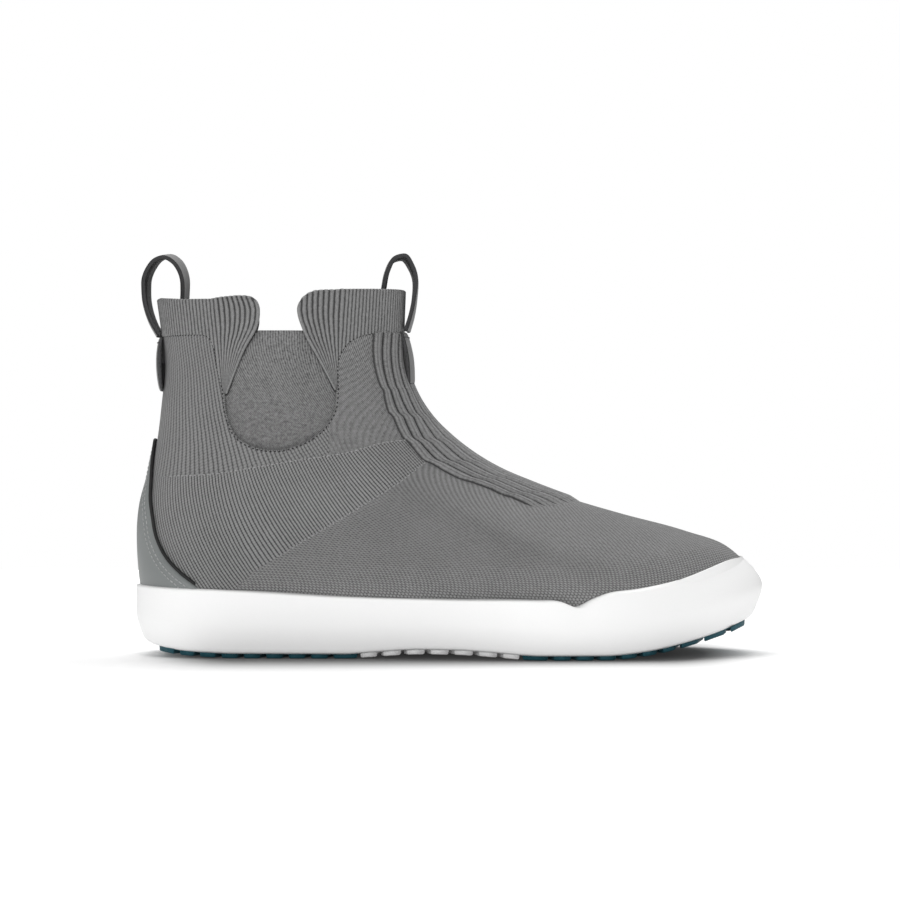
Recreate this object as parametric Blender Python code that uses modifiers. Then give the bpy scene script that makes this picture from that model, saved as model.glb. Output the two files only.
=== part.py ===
"""Waterproof knit deck boot, right foot, men's size 42, as a Blender 4.5 model.

Millimetres in the constants, metres in the scene. +X points to the toe, +Y to the medial
(inner) side, +Z up. The origin is under the middle of the sole, on the ground.

The upper is one smooth skin around the foot, given by an angle and a rise:
angle 0 is the back of the heel, 90 the lateral side, 180 the toe and instep ridge,
270 the medial side; rise 0 is the lower edge on the sole and rise 1 the collar's rim.
Every layer of the boot is that skin at its own depth below the outer face of the knit.
"""

import math

import bmesh
import bpy
import numpy as np
from mathutils import Vector

MM = 0.001

# ---- Driving dimensions, in millimetres -------------------------------------------------
SOLE_LENGTH = 298.0
HALF_LENGTH = SOLE_LENGTH / 2
BOOT_MIDDLE = Vector((-80 * MM, 0, 60 * MM))  # a point inside the ankle
GAP = 0.3  # clearance between neighbouring solids
CUP_GAP = 0.45  # clearance between the knit and the wall of the cupsole

# Layers of the upper: depth of the outer face below the knit's face, and thickness.
KNIT = (0.0, 2.0)
BACKING = (2.3, 1.0)  # gore, stiffeners and heel pad share one layer
MEMBRANE = (3.6, 0.5)
LINING = (4.7, 1.0)
OVERLAY = (-1.7, 1.3)
FLAP_THICKNESS = 1.6

# Stack under the foot, measured up from the strobel board's lower face.
BOARD_THICKNESS = 1.5
MEMBRANE_FLOOR = BOARD_THICKNESS + GAP
LINING_FLOOR = MEMBRANE_FLOOR + MEMBRANE[1] + GAP
FOOTBED_FLOOR = LINING_FLOOR + LINING[1] + GAP
FOOTBED_THICKNESS = 4.6
FOOTBED_CLEARANCE = 2.2

# Stack under the board, measured up from the tread face.
LUG_HEIGHT = 2.2
PAD_THICKNESS = 4.0
CUP_FLOOR = 6.2
PAD_INSET = 4.6
SHANK_THICKNESS = 1.2
SHANK_X = (-96.0, 26.0)
SHANK_Y = (-15.0, 11.0)
SHANK_CORNER = 6.0

# Tread: where each pad starts and ends along x, and its zigzag grooves.
HEEL_PAD_X = (-136.0, -43.0)
ARCH_PAD_X = (-41.6, 31.6)
FOREFOOT_PAD_X = (33.0, 139.0)
LUG_PITCH = 10.6
ARCH_PITCH = 10.6
GROOVE_HALF_WIDTH = 1.4
GROOVE_ZIGZAG = 2.6
GROOVE_REACH = 66.0  # how far a groove's cutter reaches to each side, past the sole's edge
GROOVE_POINTS = 9

STRAP_WIDTH = 20.0
STRAP_THICKNESS = 2.2

# ---- Side-view profile lines, (x, z) ----------------------------------------------------
BACK_LINE = [(-142.0, 14.5), (-145.6, 33.0), (-147.2, 57.0), (-146.0, 71.0), (-142.6, 84.0),
             (-139.2, 101.0), (-136.9, 120.0), (-135.4, 136.0), (-136.6, 150.0), (-139.0, 167.3)]
FRONT_LINE = [(141.0, 22.0), (139.6, 44.0), (132.0, 50.6), (112.0, 58.1), (80.5, 66.6),
              (57.0, 73.6), (39.5, 80.1), (22.0, 87.6), (9.6, 95.1), (-0.2, 102.8),
              (-8.4, 110.9), (-15.4, 121.0), (-20.0, 132.0), (-22.2, 147.0), (-21.5, 171.6)]
LOWEST_RISE = 0.002  # rise at which the flat layers under the foot take their outline
RISE_AT_SOLE = 0.12  # rise of the second point of each line, where the upper leaves the sole
# Height of the strobel board's lower face, and of the tread above the ground, along x.
BOARD_LINE = [(-149, 14.5), (-90, 14.5), (-30, 13.2), (30, 11.6), (75, 11.5), (100, 13.6),
              (120, 17.2), (135, 20.6), (149, 23.6)]
TREAD_LINE = [(-149, 6.4), (-140, 3.6), (-128, 1.6), (-112, 0.4), (-100, 0.0), (-50, 0.0),
              (-36, 0.9), (-18, 2.2), (0, 2.3), (18, 1.5), (34, 0.3), (42, 0.0), (72, 0.0),
              (82, 0.7), (95, 2.4), (108, 5.0), (125, 9.3), (138, 13.4), (149, 17.6)]
# Top edge of the sole's white wall, with the notch where the toe bumper begins.
WALL_LINE = [(-149, 33.3), (-92, 31.4), (-46, 28.9), (0, 28.1), (40, 28.0), (51, 27.6),
             (59, 24.9), (68, 28.5), (75, 30.9), (91, 32.9), (115, 37.5), (128, 41.6),
             (139, 44.8), (149, 46.0)]
# How far the sole's wall stands in from its outline at its foot and at its head, along x.
WALL_FOOT_INSET = [(-149, 3.4), (-110, 2.4), (60, 2.2), (120, 3.0), (149, 4.5)]
WALL_HEAD_INSET = [(-149, 0.0), (-60, 0.4), (40, 1.0), (90, 2.6), (120, 6.2), (149, 10.2)]
WALL_WAIST = 0.45  # part of the wall's height at which it stands furthest out
WALL_PARTS = (0.0, 0.16, 0.45, 0.72, 0.9, 1.0)  # parts of its height at which the wall has a ring
POCKET_PARTS = (1.0, 0.62, 0.3, 0.0)  # the same on the inside of the cup
CUP_CHAMFER = (2.2, 1.0)  # width and height of the bevel along the cup's lower edge
# Rise of the footbed's rim above its flat middle, along x.
FOOTBED_RIM = [(-149, 2.4), (-90, 1.4), (-40, 0.6), (10, 0), (149, 0)]

# ---- Widths, against the angle round the skin in degrees --------------------------------
# A loop's half width is its value here times the sine of the angle.
SOLE_WIDTH = [(0, 74), (15, 72), (30, 65.6), (45, 52.2), (60, 43.2), (75, 39.2), (90, 43.0),
              (105, 53.2), (120, 61.4), (135, 64.6), (150, 64.4), (165, 62.0), (180, 61)]
SOLE_CENTRE = [(-149, 0), (-95, -1), (-40, -3.6), (5, -4.4), (40, -2.2), (62, 0), (90, 2),
               (120, 4.8), (149, 7.5)]
LOOP_ANGLES = [0, 30, 60, 90, 120, 150, 180]
LOOP_WIDTHS = [
    (0.00, [66.0, 60.5, 38.4, 38.4, 57.0, 61.5, 57.5]),
    (0.12, [65.0, 60.0, 38.2, 37.6, 56.5, 60.5, 56.0]),
    (0.24, [61.0, 55.0, 38.0, 37.0, 53.0, 54.5, 50.0]),
    (0.38, [56.5, 48.5, 37.6, 36.2, 47.0, 45.5, 43.0]),
    (0.60, [50.0, 43.5, 37.0, 35.4, 38.0, 37.0, 37.0]),
    (0.80, [45.5, 41.0, 37.4, 36.2, 36.6, 36.2, 36.0]),
    (1.00, [42.0, 40.0, 38.6, 38.0, 38.0, 38.0, 38.0]),
]

# ---- Panels, as side-view outlines ------------------------------------------------------
REAR_SEAM = [(-137.0, 149.9), (-126.5, 150.0), (-115.8, 150.0), (-112.2, 148.6),
             (-110.0, 144.4), (-108.4, 135.2), (-105.6, 123.6)]
GORE_CURVE = [(-105.6, 123.6), (-104.2, 112.0), (-99.4, 102.2), (-90.6, 97.2), (-81.0, 96.0),
              (-69.4, 98.8), (-59.3, 105.2), (-53.3, 114.5), (-52.0, 125.4)]
FRONT_SEAM = [(-52.0, 125.4), (-52.2, 135.0), (-50.6, 141.6), (-46.2, 147.0), (-36.2, 150.8),
              (-23.0, 151.2)]
REAR_FOLD = ((-110.0, 168.0), (-105.6, 124.0))  # top and foot of the line where a flap folds out
FRONT_FOLD = ((-48.7, 170.0), (-51.6, 126.0))
REAR_FLAP_EDGE = [(-104.4, 122.6), (-96.0, 142.5), (-88.6, 156.6), (-88.2, 161.0), (-92.0, 170.0)]
FRONT_FLAP_EDGE = [(-69.4, 172.0), (-69.6, 160.8), (-67.0, 151.4), (-60.2, 138.4), (-52.9, 124.4)]
FLAP_CURL = 8.0  # how far a flap's free corner stands off the ankle
FLAP_REACH = 20.0  # distance from the fold at which a flap stands off by FLAP_CURL
FLAP_FOOT_SHARE = 0.35  # share of the curl that is left at the foot of a flap
FLAP_BENDS = (3.0, 6.5, 10.0, 14.0)  # distances from the fold at which a flap bends
BAND_GAP = GAP + 0.1  # clearance between the knit body and a collar band at their seam
SIDE_REACH = 80.0  # half span of the side-view cutters, past the boot's widest point
CUT_TOP = 190.0  # height of their upper edge, above the collar
CUT_REAR = -160.0
GORE_SPLIT = 8.0  # distance from the middle plane at which the cutters of the two gores start
GORE_TOP = 151.4
GORE_MARGIN = 3.4  # lap of the gore behind the knit's edge
LINING_RIM = 0.97  # rise of the lining's rim inside the collar
MEMBRANE_RIM = 0.91
NOTCH_X = (-109.0, -49.0)  # span of the notch in the lining and the membrane between the bands
MEMBRANE_NOTCH = GORE_TOP - 4.0
LINING_NOTCH = GORE_TOP - 0.6

# Half angle of the heel overlay at each height, and the heights where its edge and trim end.
OVERLAY_FOOT = 34.6
OVERLAY_TOP = [94.5, 98.2]
OVERLAY_TIP = 100.8
TRIM_FOOT = 34.4
TRIM_TOP = 100.6
TRIM_TIP_RISE = 0.6  # how far the piping passes over the overlay's tip
OVERLAY_EDGE = [(30, 31.5), (47, 25.0), (65, 20.4), (77, 15.2), (90, 8.6), (97, 4.6), (101.5, 1.2)]
PIPING_RADIUS = 0.8
PIPING_SETBACK = 1.3  # distance of the piping's centre outside the overlay's edge
THREAD_RADIUS = 0.3
STITCH_INSETS = {"heel_stitch_outer": 2.4, "heel_stitch_inner": 4.6}

# ---- Pull loops: side-view centre lines, from the outer sewn end to the inner one --------
REAR_LOOP = [(-138.7, 150.6), (-142.0, 157.0), (-144.8, 166.6), (-145.2, 175.0),
             (-143.2, 181.8), (-139.6, 186.2), (-135.6, 187.4), (-131.2, 185.2),
             (-128.2, 180.6), (-127.0, 174.6), (-127.2, 168.0), (-128.6, 159.0), (-129.2, 152.0)]
FRONT_LOOP = [(-20.0, 152.8), (-18.0, 159.6), (-16.5, 168.0), (-15.8, 176.0), (-17.6, 183.4),
              (-21.6, 188.4), (-26.0, 187.2), (-29.0, 182.0), (-30.8, 174.6), (-31.8, 166.6),
              (-31.6, 158.6), (-30.7, 152.8)]
REAR_LEAN = (3.6, 2.6)  # how far the far edge of the strap stands in x and z at the loop's top
FRONT_LEAN = (-2.0, -0.6)
STRAP_SAMPLES = 25
STRAP_BOW = 1.5  # how far a strap's middle bows out over its edges where it is sewn on
REAR_TAIL = (149.0, 124.6)  # heights between which the strap's tail lies on the boot
FRONT_TAIL = (151.2, 127.6)
TAIL_BULGE = 1.2
TAIL_THICKNESS = 1.8
TAIL_GAP = 0.9

COLOURS = {
    "knit": ((0.205, 0.205, 0.205), 0.95), "gore": ((0.170, 0.170, 0.170), 0.95),
    "overlay": ((0.175, 0.190, 0.188), 0.55), "black": ((0.012, 0.012, 0.012), 0.75),
    "rubber": ((0.88, 0.88, 0.88), 0.5), "teal": ((0.016, 0.105, 0.140), 0.6),
    "strap": ((0.190, 0.190, 0.190), 0.8), "foam": ((0.55, 0.55, 0.52), 0.9),
    "board": ((0.60, 0.56, 0.48), 0.9), "membrane": ((0.70, 0.72, 0.74), 0.5),
    "lining": ((0.045, 0.045, 0.048), 0.95), "steel": ((0.35, 0.36, 0.38), 0.35),
}


# ---- Small numeric helpers --------------------------------------------------------------
def eased(table, at):
    """A smooth curve through the (position, value) pairs of a table, read at the positions."""
    xs, ys = (np.array(column, float) for column in zip(*table))
    slopes = np.gradient(ys, xs)
    rates = np.diff(ys) / np.diff(xs)
    slopes[1:-1][rates[1:] * rates[:-1] <= 0] = 0  # no overshoot at a peak or beside a flat
    at = np.clip(np.asarray(at, float), xs[0], xs[-1])
    left = np.clip(np.searchsorted(xs, at, side="right") - 1, 0, len(xs) - 2)
    span = xs[left + 1] - xs[left]
    u = (at - xs[left]) / span
    return (ys[left] * (1 + 2 * u) * (1 - u) ** 2 + slopes[left] * span * u * (1 - u) ** 2
            + ys[left + 1] * u * u * (3 - 2 * u) + slopes[left + 1] * span * u * u * (u - 1))


def along(points, at, knots=None):
    """Points of a smooth curve through the given ones; at runs from 0 to 1 by length, or by knots."""
    points = np.array(points, float)
    if knots is None:
        steps = np.linalg.norm(np.diff(points, axis=0), axis=1)
        knots = np.concatenate([[0], np.cumsum(steps)]) / steps.sum()
    return np.stack([eased(list(zip(knots, column)), at) for column in points.T], axis=-1)


def line_knots(points):
    """Knots by length that put the line's second point at RISE_AT_SOLE."""
    steps = np.linalg.norm(np.diff(np.array(points, float), axis=0), axis=1)
    rest = RISE_AT_SOLE + (1 - RISE_AT_SOLE) * np.cumsum(steps[1:]) / steps[1:].sum()
    return np.concatenate([[0, RISE_AT_SOLE], rest])


BACK_KNOTS, FRONT_KNOTS = line_knots(BACK_LINE), line_knots(FRONT_LINE)


def loop_width(angle, rise):
    """Width factor of the skin; the angle is folded onto 0..180 degrees."""
    folded = np.degrees(np.arccos(np.clip(np.cos(angle), -1, 1)))
    rows = [eased(list(zip(LOOP_ANGLES, widths)), folded) for _, widths in LOOP_WIDTHS]
    rises = np.array([rise_of_row for rise_of_row, _ in LOOP_WIDTHS])
    rows = np.stack(np.broadcast_arrays(*rows))
    slopes = np.gradient(rows, rises, axis=0)
    rise = np.clip(rise, 0, 1)
    left = np.clip(np.searchsorted(rises, rise, side="right") - 1, 0, len(rises) - 2)
    left = np.broadcast_to(left, rows.shape[1:])
    span = rises[left + 1] - rises[left]
    u = (rise - rises[left]) / span

    def pick(values, index):
        return np.take_along_axis(values, index[None], 0)[0]

    return (pick(rows, left) * (1 + 2 * u) * (1 - u) ** 2
            + pick(slopes, left) * span * u * (1 - u) ** 2
            + pick(rows, left + 1) * u * u * (3 - 2 * u)
            + pick(slopes, left + 1) * span * u * u * (u - 1))


def face_point(angle, rise):
    """Point of the knit's outer face; angle in radians and rise 0..1, as arrays of one shape."""
    angle, rise = np.broadcast_arrays(np.asarray(angle, float), np.asarray(rise, float))
    share = (1 - np.cos(angle)) / 2
    back = along(BACK_LINE, rise, BACK_KNOTS)
    front = along(FRONT_LINE, rise, FRONT_KNOTS)
    (heel_x, heel_z), (toe_x, toe_z) = BACK_LINE[0], FRONT_LINE[0]
    sag = eased(BOARD_LINE, heel_x + share * (toe_x - heel_x)) - heel_z - share * (toe_z - heel_z)
    x = (1 - share) * back[..., 0] + share * front[..., 0]
    z = (1 - share) * back[..., 1] + share * front[..., 1] + (1 - rise) * sag
    centre = eased(SOLE_CENTRE, x) * (1 - rise) ** 1.2 + CENTRE_SHIFT
    return np.stack([x, centre - loop_width(angle, rise) * np.sin(angle), z], axis=-1)


def skin(angle, rise, depth):
    """Point that lies depth below the knit's outer face, along the face's normal."""
    angle, rise = np.broadcast_arrays(np.asarray(angle, float), np.asarray(rise, float))
    step = 1e-3
    low, high = np.clip(rise - step, 0, 1), np.clip(rise + step, 0, 1)
    around = face_point(angle + step, rise) - face_point(angle - step, rise)
    up = face_point(angle, high) - face_point(angle, low)
    normal = np.cross(around, up)
    normal /= np.linalg.norm(normal, axis=-1, keepdims=True)
    return face_point(angle, rise) - normal * np.asarray(depth)[..., None]


def sole_edge(angle, inset):
    """Plan point (x, y) of the sole's outline, moved in by inset."""
    step = 1e-3

    def outline(at):
        x = -HALF_LENGTH * np.cos(at)
        folded = np.degrees(np.arccos(np.clip(np.cos(at), -1, 1)))
        return np.stack([x, eased(SOLE_CENTRE, x) + CENTRE_SHIFT
                         - eased(SOLE_WIDTH, folded) * np.sin(at)], axis=-1)

    tangent = outline(angle + step) - outline(angle - step)
    tangent /= np.linalg.norm(tangent, axis=-1, keepdims=True)
    inward = np.stack([-tangent[..., 1], tangent[..., 0]], axis=-1)
    return outline(angle) + inward * np.asarray(inset)[..., None]


def rise_at(angle, height):
    """Rise at which the face reaches a height, given as a function of x."""
    low, high = np.zeros_like(angle), np.ones_like(angle)
    for _ in range(40):
        middle = (low + high) / 2
        point = face_point(angle, middle)
        below = point[..., 2] < height(point[..., 0])
        low, high = np.where(below, middle, low), np.where(below, high, middle)
    return (low + high) / 2


CENTRE_SHIFT = 0.0
_edge = sole_edge(np.radians(np.arange(0, 360, 1.0)), np.zeros(360))
CENTRE_SHIFT = -float(_edge[:, 1].min() + _edge[:, 1].max()) / 2  # centres the sole on y = 0

# Stations round the skin: an even spacing, closer at the notch in the sole's wall.
HALF_STATIONS = np.array([0, 9, 18, 27, 36, 45, 55, 65, 75, 85, 95, 103, 109, 113.3, 117.6, 124,
                          133, 142, 151, 160, 167, 173.5, 180], float)
STATIONS = np.radians(np.concatenate([HALF_STATIONS, 360 - HALF_STATIONS[-2:0:-1]]))


# ---- Scene and mesh helpers -------------------------------------------------------------
def clear_scene():
    for item in list(bpy.data.objects):
        bpy.data.objects.remove(item, do_unlink=True)


def new_collection(name):
    made = bpy.data.collections.new(name)
    bpy.context.scene.collection.children.link(made)
    return made


def material(name):
    found = bpy.data.materials.get(name)
    if found:
        return found
    colour, roughness = COLOURS[name]
    found = bpy.data.materials.new(name)
    found.use_nodes = True
    shader = found.node_tree.nodes["Principled BSDF"]
    shader.inputs["Base Color"].default_value = (*colour, 1)
    shader.inputs["Roughness"].default_value = roughness
    shader.inputs["Metallic"].default_value = 1.0 if name == "steel" else 0.0
    return found


def add_object(name, mesh, look, collection):
    made = bpy.data.objects.new(name, mesh)
    if look:
        mesh.materials.append(material(look))
    collection.objects.link(made)
    return made


def mesh_of(name, points, faces):
    mesh = bpy.data.meshes.new(name)
    mesh.from_pydata([tuple(p) for p in np.asarray(points) * MM], [], faces)
    edit = bmesh.new()
    edit.from_mesh(mesh)
    bmesh.ops.recalc_face_normals(edit, faces=edit.faces)
    edit.to_mesh(mesh)
    edit.free()
    mesh.shade_smooth()
    return mesh


def grid_faces(rows, columns, closed):
    """Quads between the rows of a grid of points; closed joins the last column to the first."""
    faces = []
    for row in range(rows - 1):
        for column in range(columns if closed else columns - 1):
            after = (column + 1) % columns
            faces.append((row * columns + column, row * columns + after,
                          (row + 1) * columns + after, (row + 1) * columns + column))
    return faces


def ladder_faces(start, columns):
    """Faces that close a loop of stations with strips from its lateral to its medial side."""
    half = columns // 2
    faces = [(start, start + 1, start + columns - 1)]
    for i in range(1, half - 1):
        faces.append((start + i, start + i + 1, start + columns - i - 1, start + columns - i))
    faces.append((start + half - 1, start + half, start + half + 1))
    return faces


def lofted(name, rows, look, collection, floor=False, lid=False):
    """A loft through closed loops of stations, with a ladder floor or lid where asked."""
    columns = len(rows[0])
    faces = grid_faces(len(rows), columns, True)
    if floor:
        faces += ladder_faces(0, columns)
    if lid:
        faces += ladder_faces((len(rows) - 1) * columns, columns)
    return add_object(name, mesh_of(name, np.concatenate(rows), faces), look, collection)


def patch(name, rows, look, collection):
    """An open sheet through rows of points."""
    faces = grid_faces(len(rows), len(rows[0]), False)
    return add_object(name, mesh_of(name, np.concatenate(rows), faces), look, collection)


def face_outwards(item):
    """Turns the faces of an open sheet so that they look away from the middle of the boot."""
    edit = bmesh.new()
    edit.from_mesh(item.data)
    edit.faces.ensure_lookup_table()
    first = edit.faces[0]
    if first.normal.dot(first.calc_center_median() - BOOT_MIDDLE) < 0:
        bmesh.ops.reverse_faces(edit, faces=edit.faces)
    edit.to_mesh(item.data)
    edit.free()


def thicken(item, thickness):
    """Gives an open sheet its thickness, behind the side that its faces look to."""
    solidify = item.modifiers.new("thickness", "SOLIDIFY")
    solidify.thickness = thickness * MM
    solidify.offset = -1
    solidify.use_even_offset = True
    solidify.use_quality_normals = True
    return item


def applied(item):
    """Replaces the object's mesh by the one that its modifiers make."""
    graph = bpy.context.evaluated_depsgraph_get()
    mesh = bpy.data.meshes.new_from_object(item.evaluated_get(graph))
    item.modifiers.clear()
    item.data = mesh
    return item


def prism(name, outline, low_y, high_y, cutters):
    """A cutter: a side-view outline carried along y."""
    edit = bmesh.new()
    face = edit.faces.new([edit.verts.new((x * MM, low_y * MM, z * MM)) for x, z in outline])
    carried = bmesh.ops.extrude_face_region(edit, geom=[face])["geom"]
    moved = [part for part in carried if isinstance(part, bmesh.types.BMVert)]
    bmesh.ops.translate(edit, verts=moved, vec=(0, (high_y - low_y) * MM, 0))
    bmesh.ops.recalc_face_normals(edit, faces=edit.faces)
    mesh = bpy.data.meshes.new(name)
    edit.to_mesh(mesh)
    edit.free()
    return as_cutter(bpy.data.objects.new(name, mesh), cutters)


def as_cutter(item, cutters):
    if item.name not in cutters.objects:
        cutters.objects.link(item)
    item.hide_render = True
    item.display_type = "WIRE"
    return item


def box_cutter(name, low, high, cutters):
    edit = bmesh.new()
    bmesh.ops.create_cube(edit, size=1)
    low, high = np.array(low) * MM, np.array(high) * MM
    bmesh.ops.scale(edit, vec=tuple(high - low), verts=edit.verts)
    bmesh.ops.translate(edit, vec=tuple((high + low) / 2), verts=edit.verts)
    mesh = bpy.data.meshes.new(name)
    edit.to_mesh(mesh)
    edit.free()
    return as_cutter(bpy.data.objects.new(name, mesh), cutters)


def boolean(item, other, operation):
    step = item.modifiers.new(other.name, "BOOLEAN")
    step.operation = operation
    step.object = other
    step.solver = "EXACT"
    return item


def follow(item, line, stations, below=100.0):
    """Cuts the object's faces under a height at the stations, then lifts it by a side-view line."""
    edit = bmesh.new()
    edit.from_mesh(applied(item).data)
    for x in stations:
        faces = [face for face in edit.faces if all(corner.co.z < below * MM for corner in face.verts)]
        edges = {edge for face in faces for edge in face.edges}
        corners = {corner for face in faces for corner in face.verts}
        bmesh.ops.bisect_plane(edit, geom=[*corners, *edges, *faces], dist=1e-7,
                               plane_co=(x * MM, 0, 0), plane_no=(1, 0, 0))
    for vertex in edit.verts:
        vertex.co.z += float(eased(line, vertex.co.x / MM)) * MM
    bmesh.ops.triangulate(edit, faces=edit.faces)
    edit.to_mesh(item.data)
    edit.free()
    return item


def wire(name, points, radius, look, collection, resolution=0):
    """A round thread or cord through the points."""
    curve = bpy.data.curves.new(name, "CURVE")
    curve.dimensions = "3D"
    curve.bevel_depth = radius * MM
    curve.bevel_resolution = resolution
    curve.use_fill_caps = True
    spline = curve.splines.new("POLY")
    spline.points.add(len(points) - 1)
    for target, point in zip(spline.points, points):
        target.co = (*(np.asarray(point) * MM), 1)
    return add_object(name, curve, look, collection)


# ---- Sole -------------------------------------------------------------------------------
# Places along x at which a flat piece is divided before it takes the sole's or the board's curve.
CURVED_STATIONS = [-142, -135, -128, -120, -112, -100, -50, -44, -38, -28, -18, -8, 2, 12, 22, 32, 40,
                   74, 82, 90, 98, 106, 114, 122, 130, 138, 144]
SHANK_STATIONS = [-80, -60, -45, -30, -15, 0, 15]


def pad_outline(low_x, high_x, inset):
    """Plan outline of a tread pad between two positions along the sole."""
    loop = sole_edge(np.radians(np.arange(0, 360, 2.0)), np.full(180, inset))
    lateral, medial = loop[loop[:, 1] < 0], loop[loop[:, 1] >= 0]
    xs = np.concatenate([[low_x], np.arange(low_x + 6, high_x - 3, 8.0), [high_x]])
    near, far = (edge[np.argsort(edge[:, 0])] for edge in (lateral, medial))
    return [(x, np.interp(x, near[:, 0], near[:, 1]), np.interp(x, far[:, 0], far[:, 1])) for x in xs]


def slab(name, outline, low, high, look, collection):
    """A plate over a plan outline given as (x, lateral y, medial y)."""
    loop = [(x, y) for x, y, _ in outline] + [(x, y) for x, _, y in reversed(outline)]
    count, half = len(loop), len(outline)
    points = [(x, y, z) for z in (low, high) for x, y in loop]
    faces = [(i, (i + 1) % count, count + (i + 1) % count, count + i) for i in range(count)]
    for level in (0, count):
        faces += [(level + i, level + i + 1, level + count - i - 2, level + count - i - 1)
                  for i in range(half - 1)]
    return add_object(name, mesh_of(name, points, faces), look, collection)


def grooves(name, low_x, high_x, pitch, cutters):
    """Cutters for the zigzag grooves across a tread."""
    made = []
    count = round((high_x - low_x) / pitch)
    ys = np.linspace(-GROOVE_REACH, GROOVE_REACH, GROOVE_POINTS)
    zigzag = np.where(np.arange(GROOVE_POINTS) % 2, GROOVE_ZIGZAG, -GROOVE_ZIGZAG)
    for i in range(1, count):
        xs = low_x + i * (high_x - low_x) / count + zigzag
        front = list(zip(xs + GROOVE_HALF_WIDTH, ys))
        rear = list(zip(xs[::-1] - GROOVE_HALF_WIDTH, ys[::-1]))
        made.append(plan_cutter(f"{name}_groove_{i}", front + rear, cutters))
    return made


def plan_cutter(name, outline, cutters, low=-3.0, high=LUG_HEIGHT - 0.2):
    edit = bmesh.new()
    face = edit.faces.new([edit.verts.new((x * MM, y * MM, low * MM)) for x, y in outline])
    carried = bmesh.ops.extrude_face_region(edit, geom=[face])["geom"]
    moved = [part for part in carried if isinstance(part, bmesh.types.BMVert)]
    bmesh.ops.translate(edit, verts=moved, vec=(0, 0, (high - low) * MM))
    bmesh.ops.triangulate(edit, faces=edit.faces)
    bmesh.ops.recalc_face_normals(edit, faces=edit.faces)
    mesh = bpy.data.meshes.new(name)
    edit.to_mesh(mesh)
    edit.free()
    return as_cutter(bpy.data.objects.new(name, mesh), cutters)


def tread_pad(name, low_x, high_x, top, pitch, look, parts, cutters):
    """A tread pad, still flat: a plate whose lower part is cut into lugs."""
    pad = slab(name, pad_outline(low_x, high_x, PAD_INSET), 0.0, top, look, parts)
    for cutter in grooves(name, low_x, high_x, pitch, cutters):
        boolean(pad, cutter, "DIFFERENCE")
    return pad


def wall_inset(part, x):
    """How far the sole's wall stands in from its outline, by part of its height (0..1)."""
    below = np.clip(1 - part / WALL_WAIST, 0, 1) ** 1.6
    above = np.clip((part - WALL_WAIST) / (1 - WALL_WAIST), 0, 1) ** 1.8
    return eased(WALL_FOOT_INSET, x) * below + eased(WALL_HEAD_INSET, x) * above


def cupsole(parts, cutters):
    """The white rubber cup: tread floor, wall with toe bumper, and the pocket for the upper."""
    outline_x = sole_edge(STATIONS, np.zeros(len(STATIONS)))[:, 0]
    base = sole_edge(STATIONS, wall_inset(0.0, outline_x) + CUP_CHAMFER[0])
    rows = [np.column_stack([base, eased(TREAD_LINE, base[:, 0]) + LUG_HEIGHT])]
    for part in WALL_PARTS:
        plan = sole_edge(STATIONS, wall_inset(part, outline_x))
        floor_z = eased(TREAD_LINE, plan[:, 0]) + LUG_HEIGHT + CUP_CHAMFER[1]
        rows.append(np.column_stack([plan, floor_z + part * (eased(WALL_LINE, plan[:, 0]) - floor_z)]))
    rim = rise_at(STATIONS, lambda x: eased(WALL_LINE, x))
    for share in POCKET_PARTS:
        rows.append(skin(STATIONS, rim * share, np.full(len(STATIONS), -CUP_GAP)))
    pocket = rows[-1].copy()
    pocket[:, 2] = eased(TREAD_LINE, pocket[:, 0]) + CUP_FLOOR
    rows.append(pocket)
    for row in rows:
        row[:, 2] -= eased(TREAD_LINE, row[:, 0])
    cup = lofted("cupsole", rows, "rubber", parts, floor=True, lid=True)
    arch = tread_pad("arch_lugs", *ARCH_PAD_X, LUG_HEIGHT + 1.2, ARCH_PITCH, None, parts, cutters)
    parts.objects.unlink(as_cutter(applied(arch), cutters))
    boolean(cup, arch, "UNION")
    for name, span in (("heel_recess", HEEL_PAD_X), ("forefoot_recess", FOREFOOT_PAD_X)):
        outline = pad_outline(span[0] - GAP, span[1] + GAP, PAD_INSET - GAP)
        recess = slab(name, outline, -2.0, PAD_THICKNESS + GAP, None, cutters)
        boolean(cup, as_cutter(recess, cutters), "DIFFERENCE")
    return follow(cup, TREAD_LINE, CURVED_STATIONS, below=CUP_FLOOR + 0.1)


def board_loop(depth, height):
    """A loop of the skin near its lower edge, flattened to a height above the board line."""
    loop = skin(STATIONS, np.full(len(STATIONS), LOWEST_RISE), np.full(len(STATIONS), depth))
    loop[:, 2] = height
    return loop


def cushion_core(parts, cutters):
    """Foam midsole inside the cup, with a recess for the shank in its top."""
    base = board_loop(0.4, 0.0)
    base[:, 2] = eased(TREAD_LINE, base[:, 0]) + CUP_FLOOR + GAP - eased(BOARD_LINE, base[:, 0])
    core = lofted("cushion_core", [base, board_loop(0.4, -GAP)], "foam", parts, floor=True, lid=True)
    low = (SHANK_X[0] - GAP, SHANK_Y[0] - GAP, -SHANK_THICKNESS - 2 * GAP)
    high = (SHANK_X[1] + GAP, SHANK_Y[1] + GAP, BOARD_THICKNESS)
    boolean(core, box_cutter("shank_recess", low, high, cutters), "DIFFERENCE")
    return follow(core, BOARD_LINE, [SHANK_X[0], *SHANK_STATIONS, SHANK_X[1], SHANK_X[1] + 14])


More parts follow.
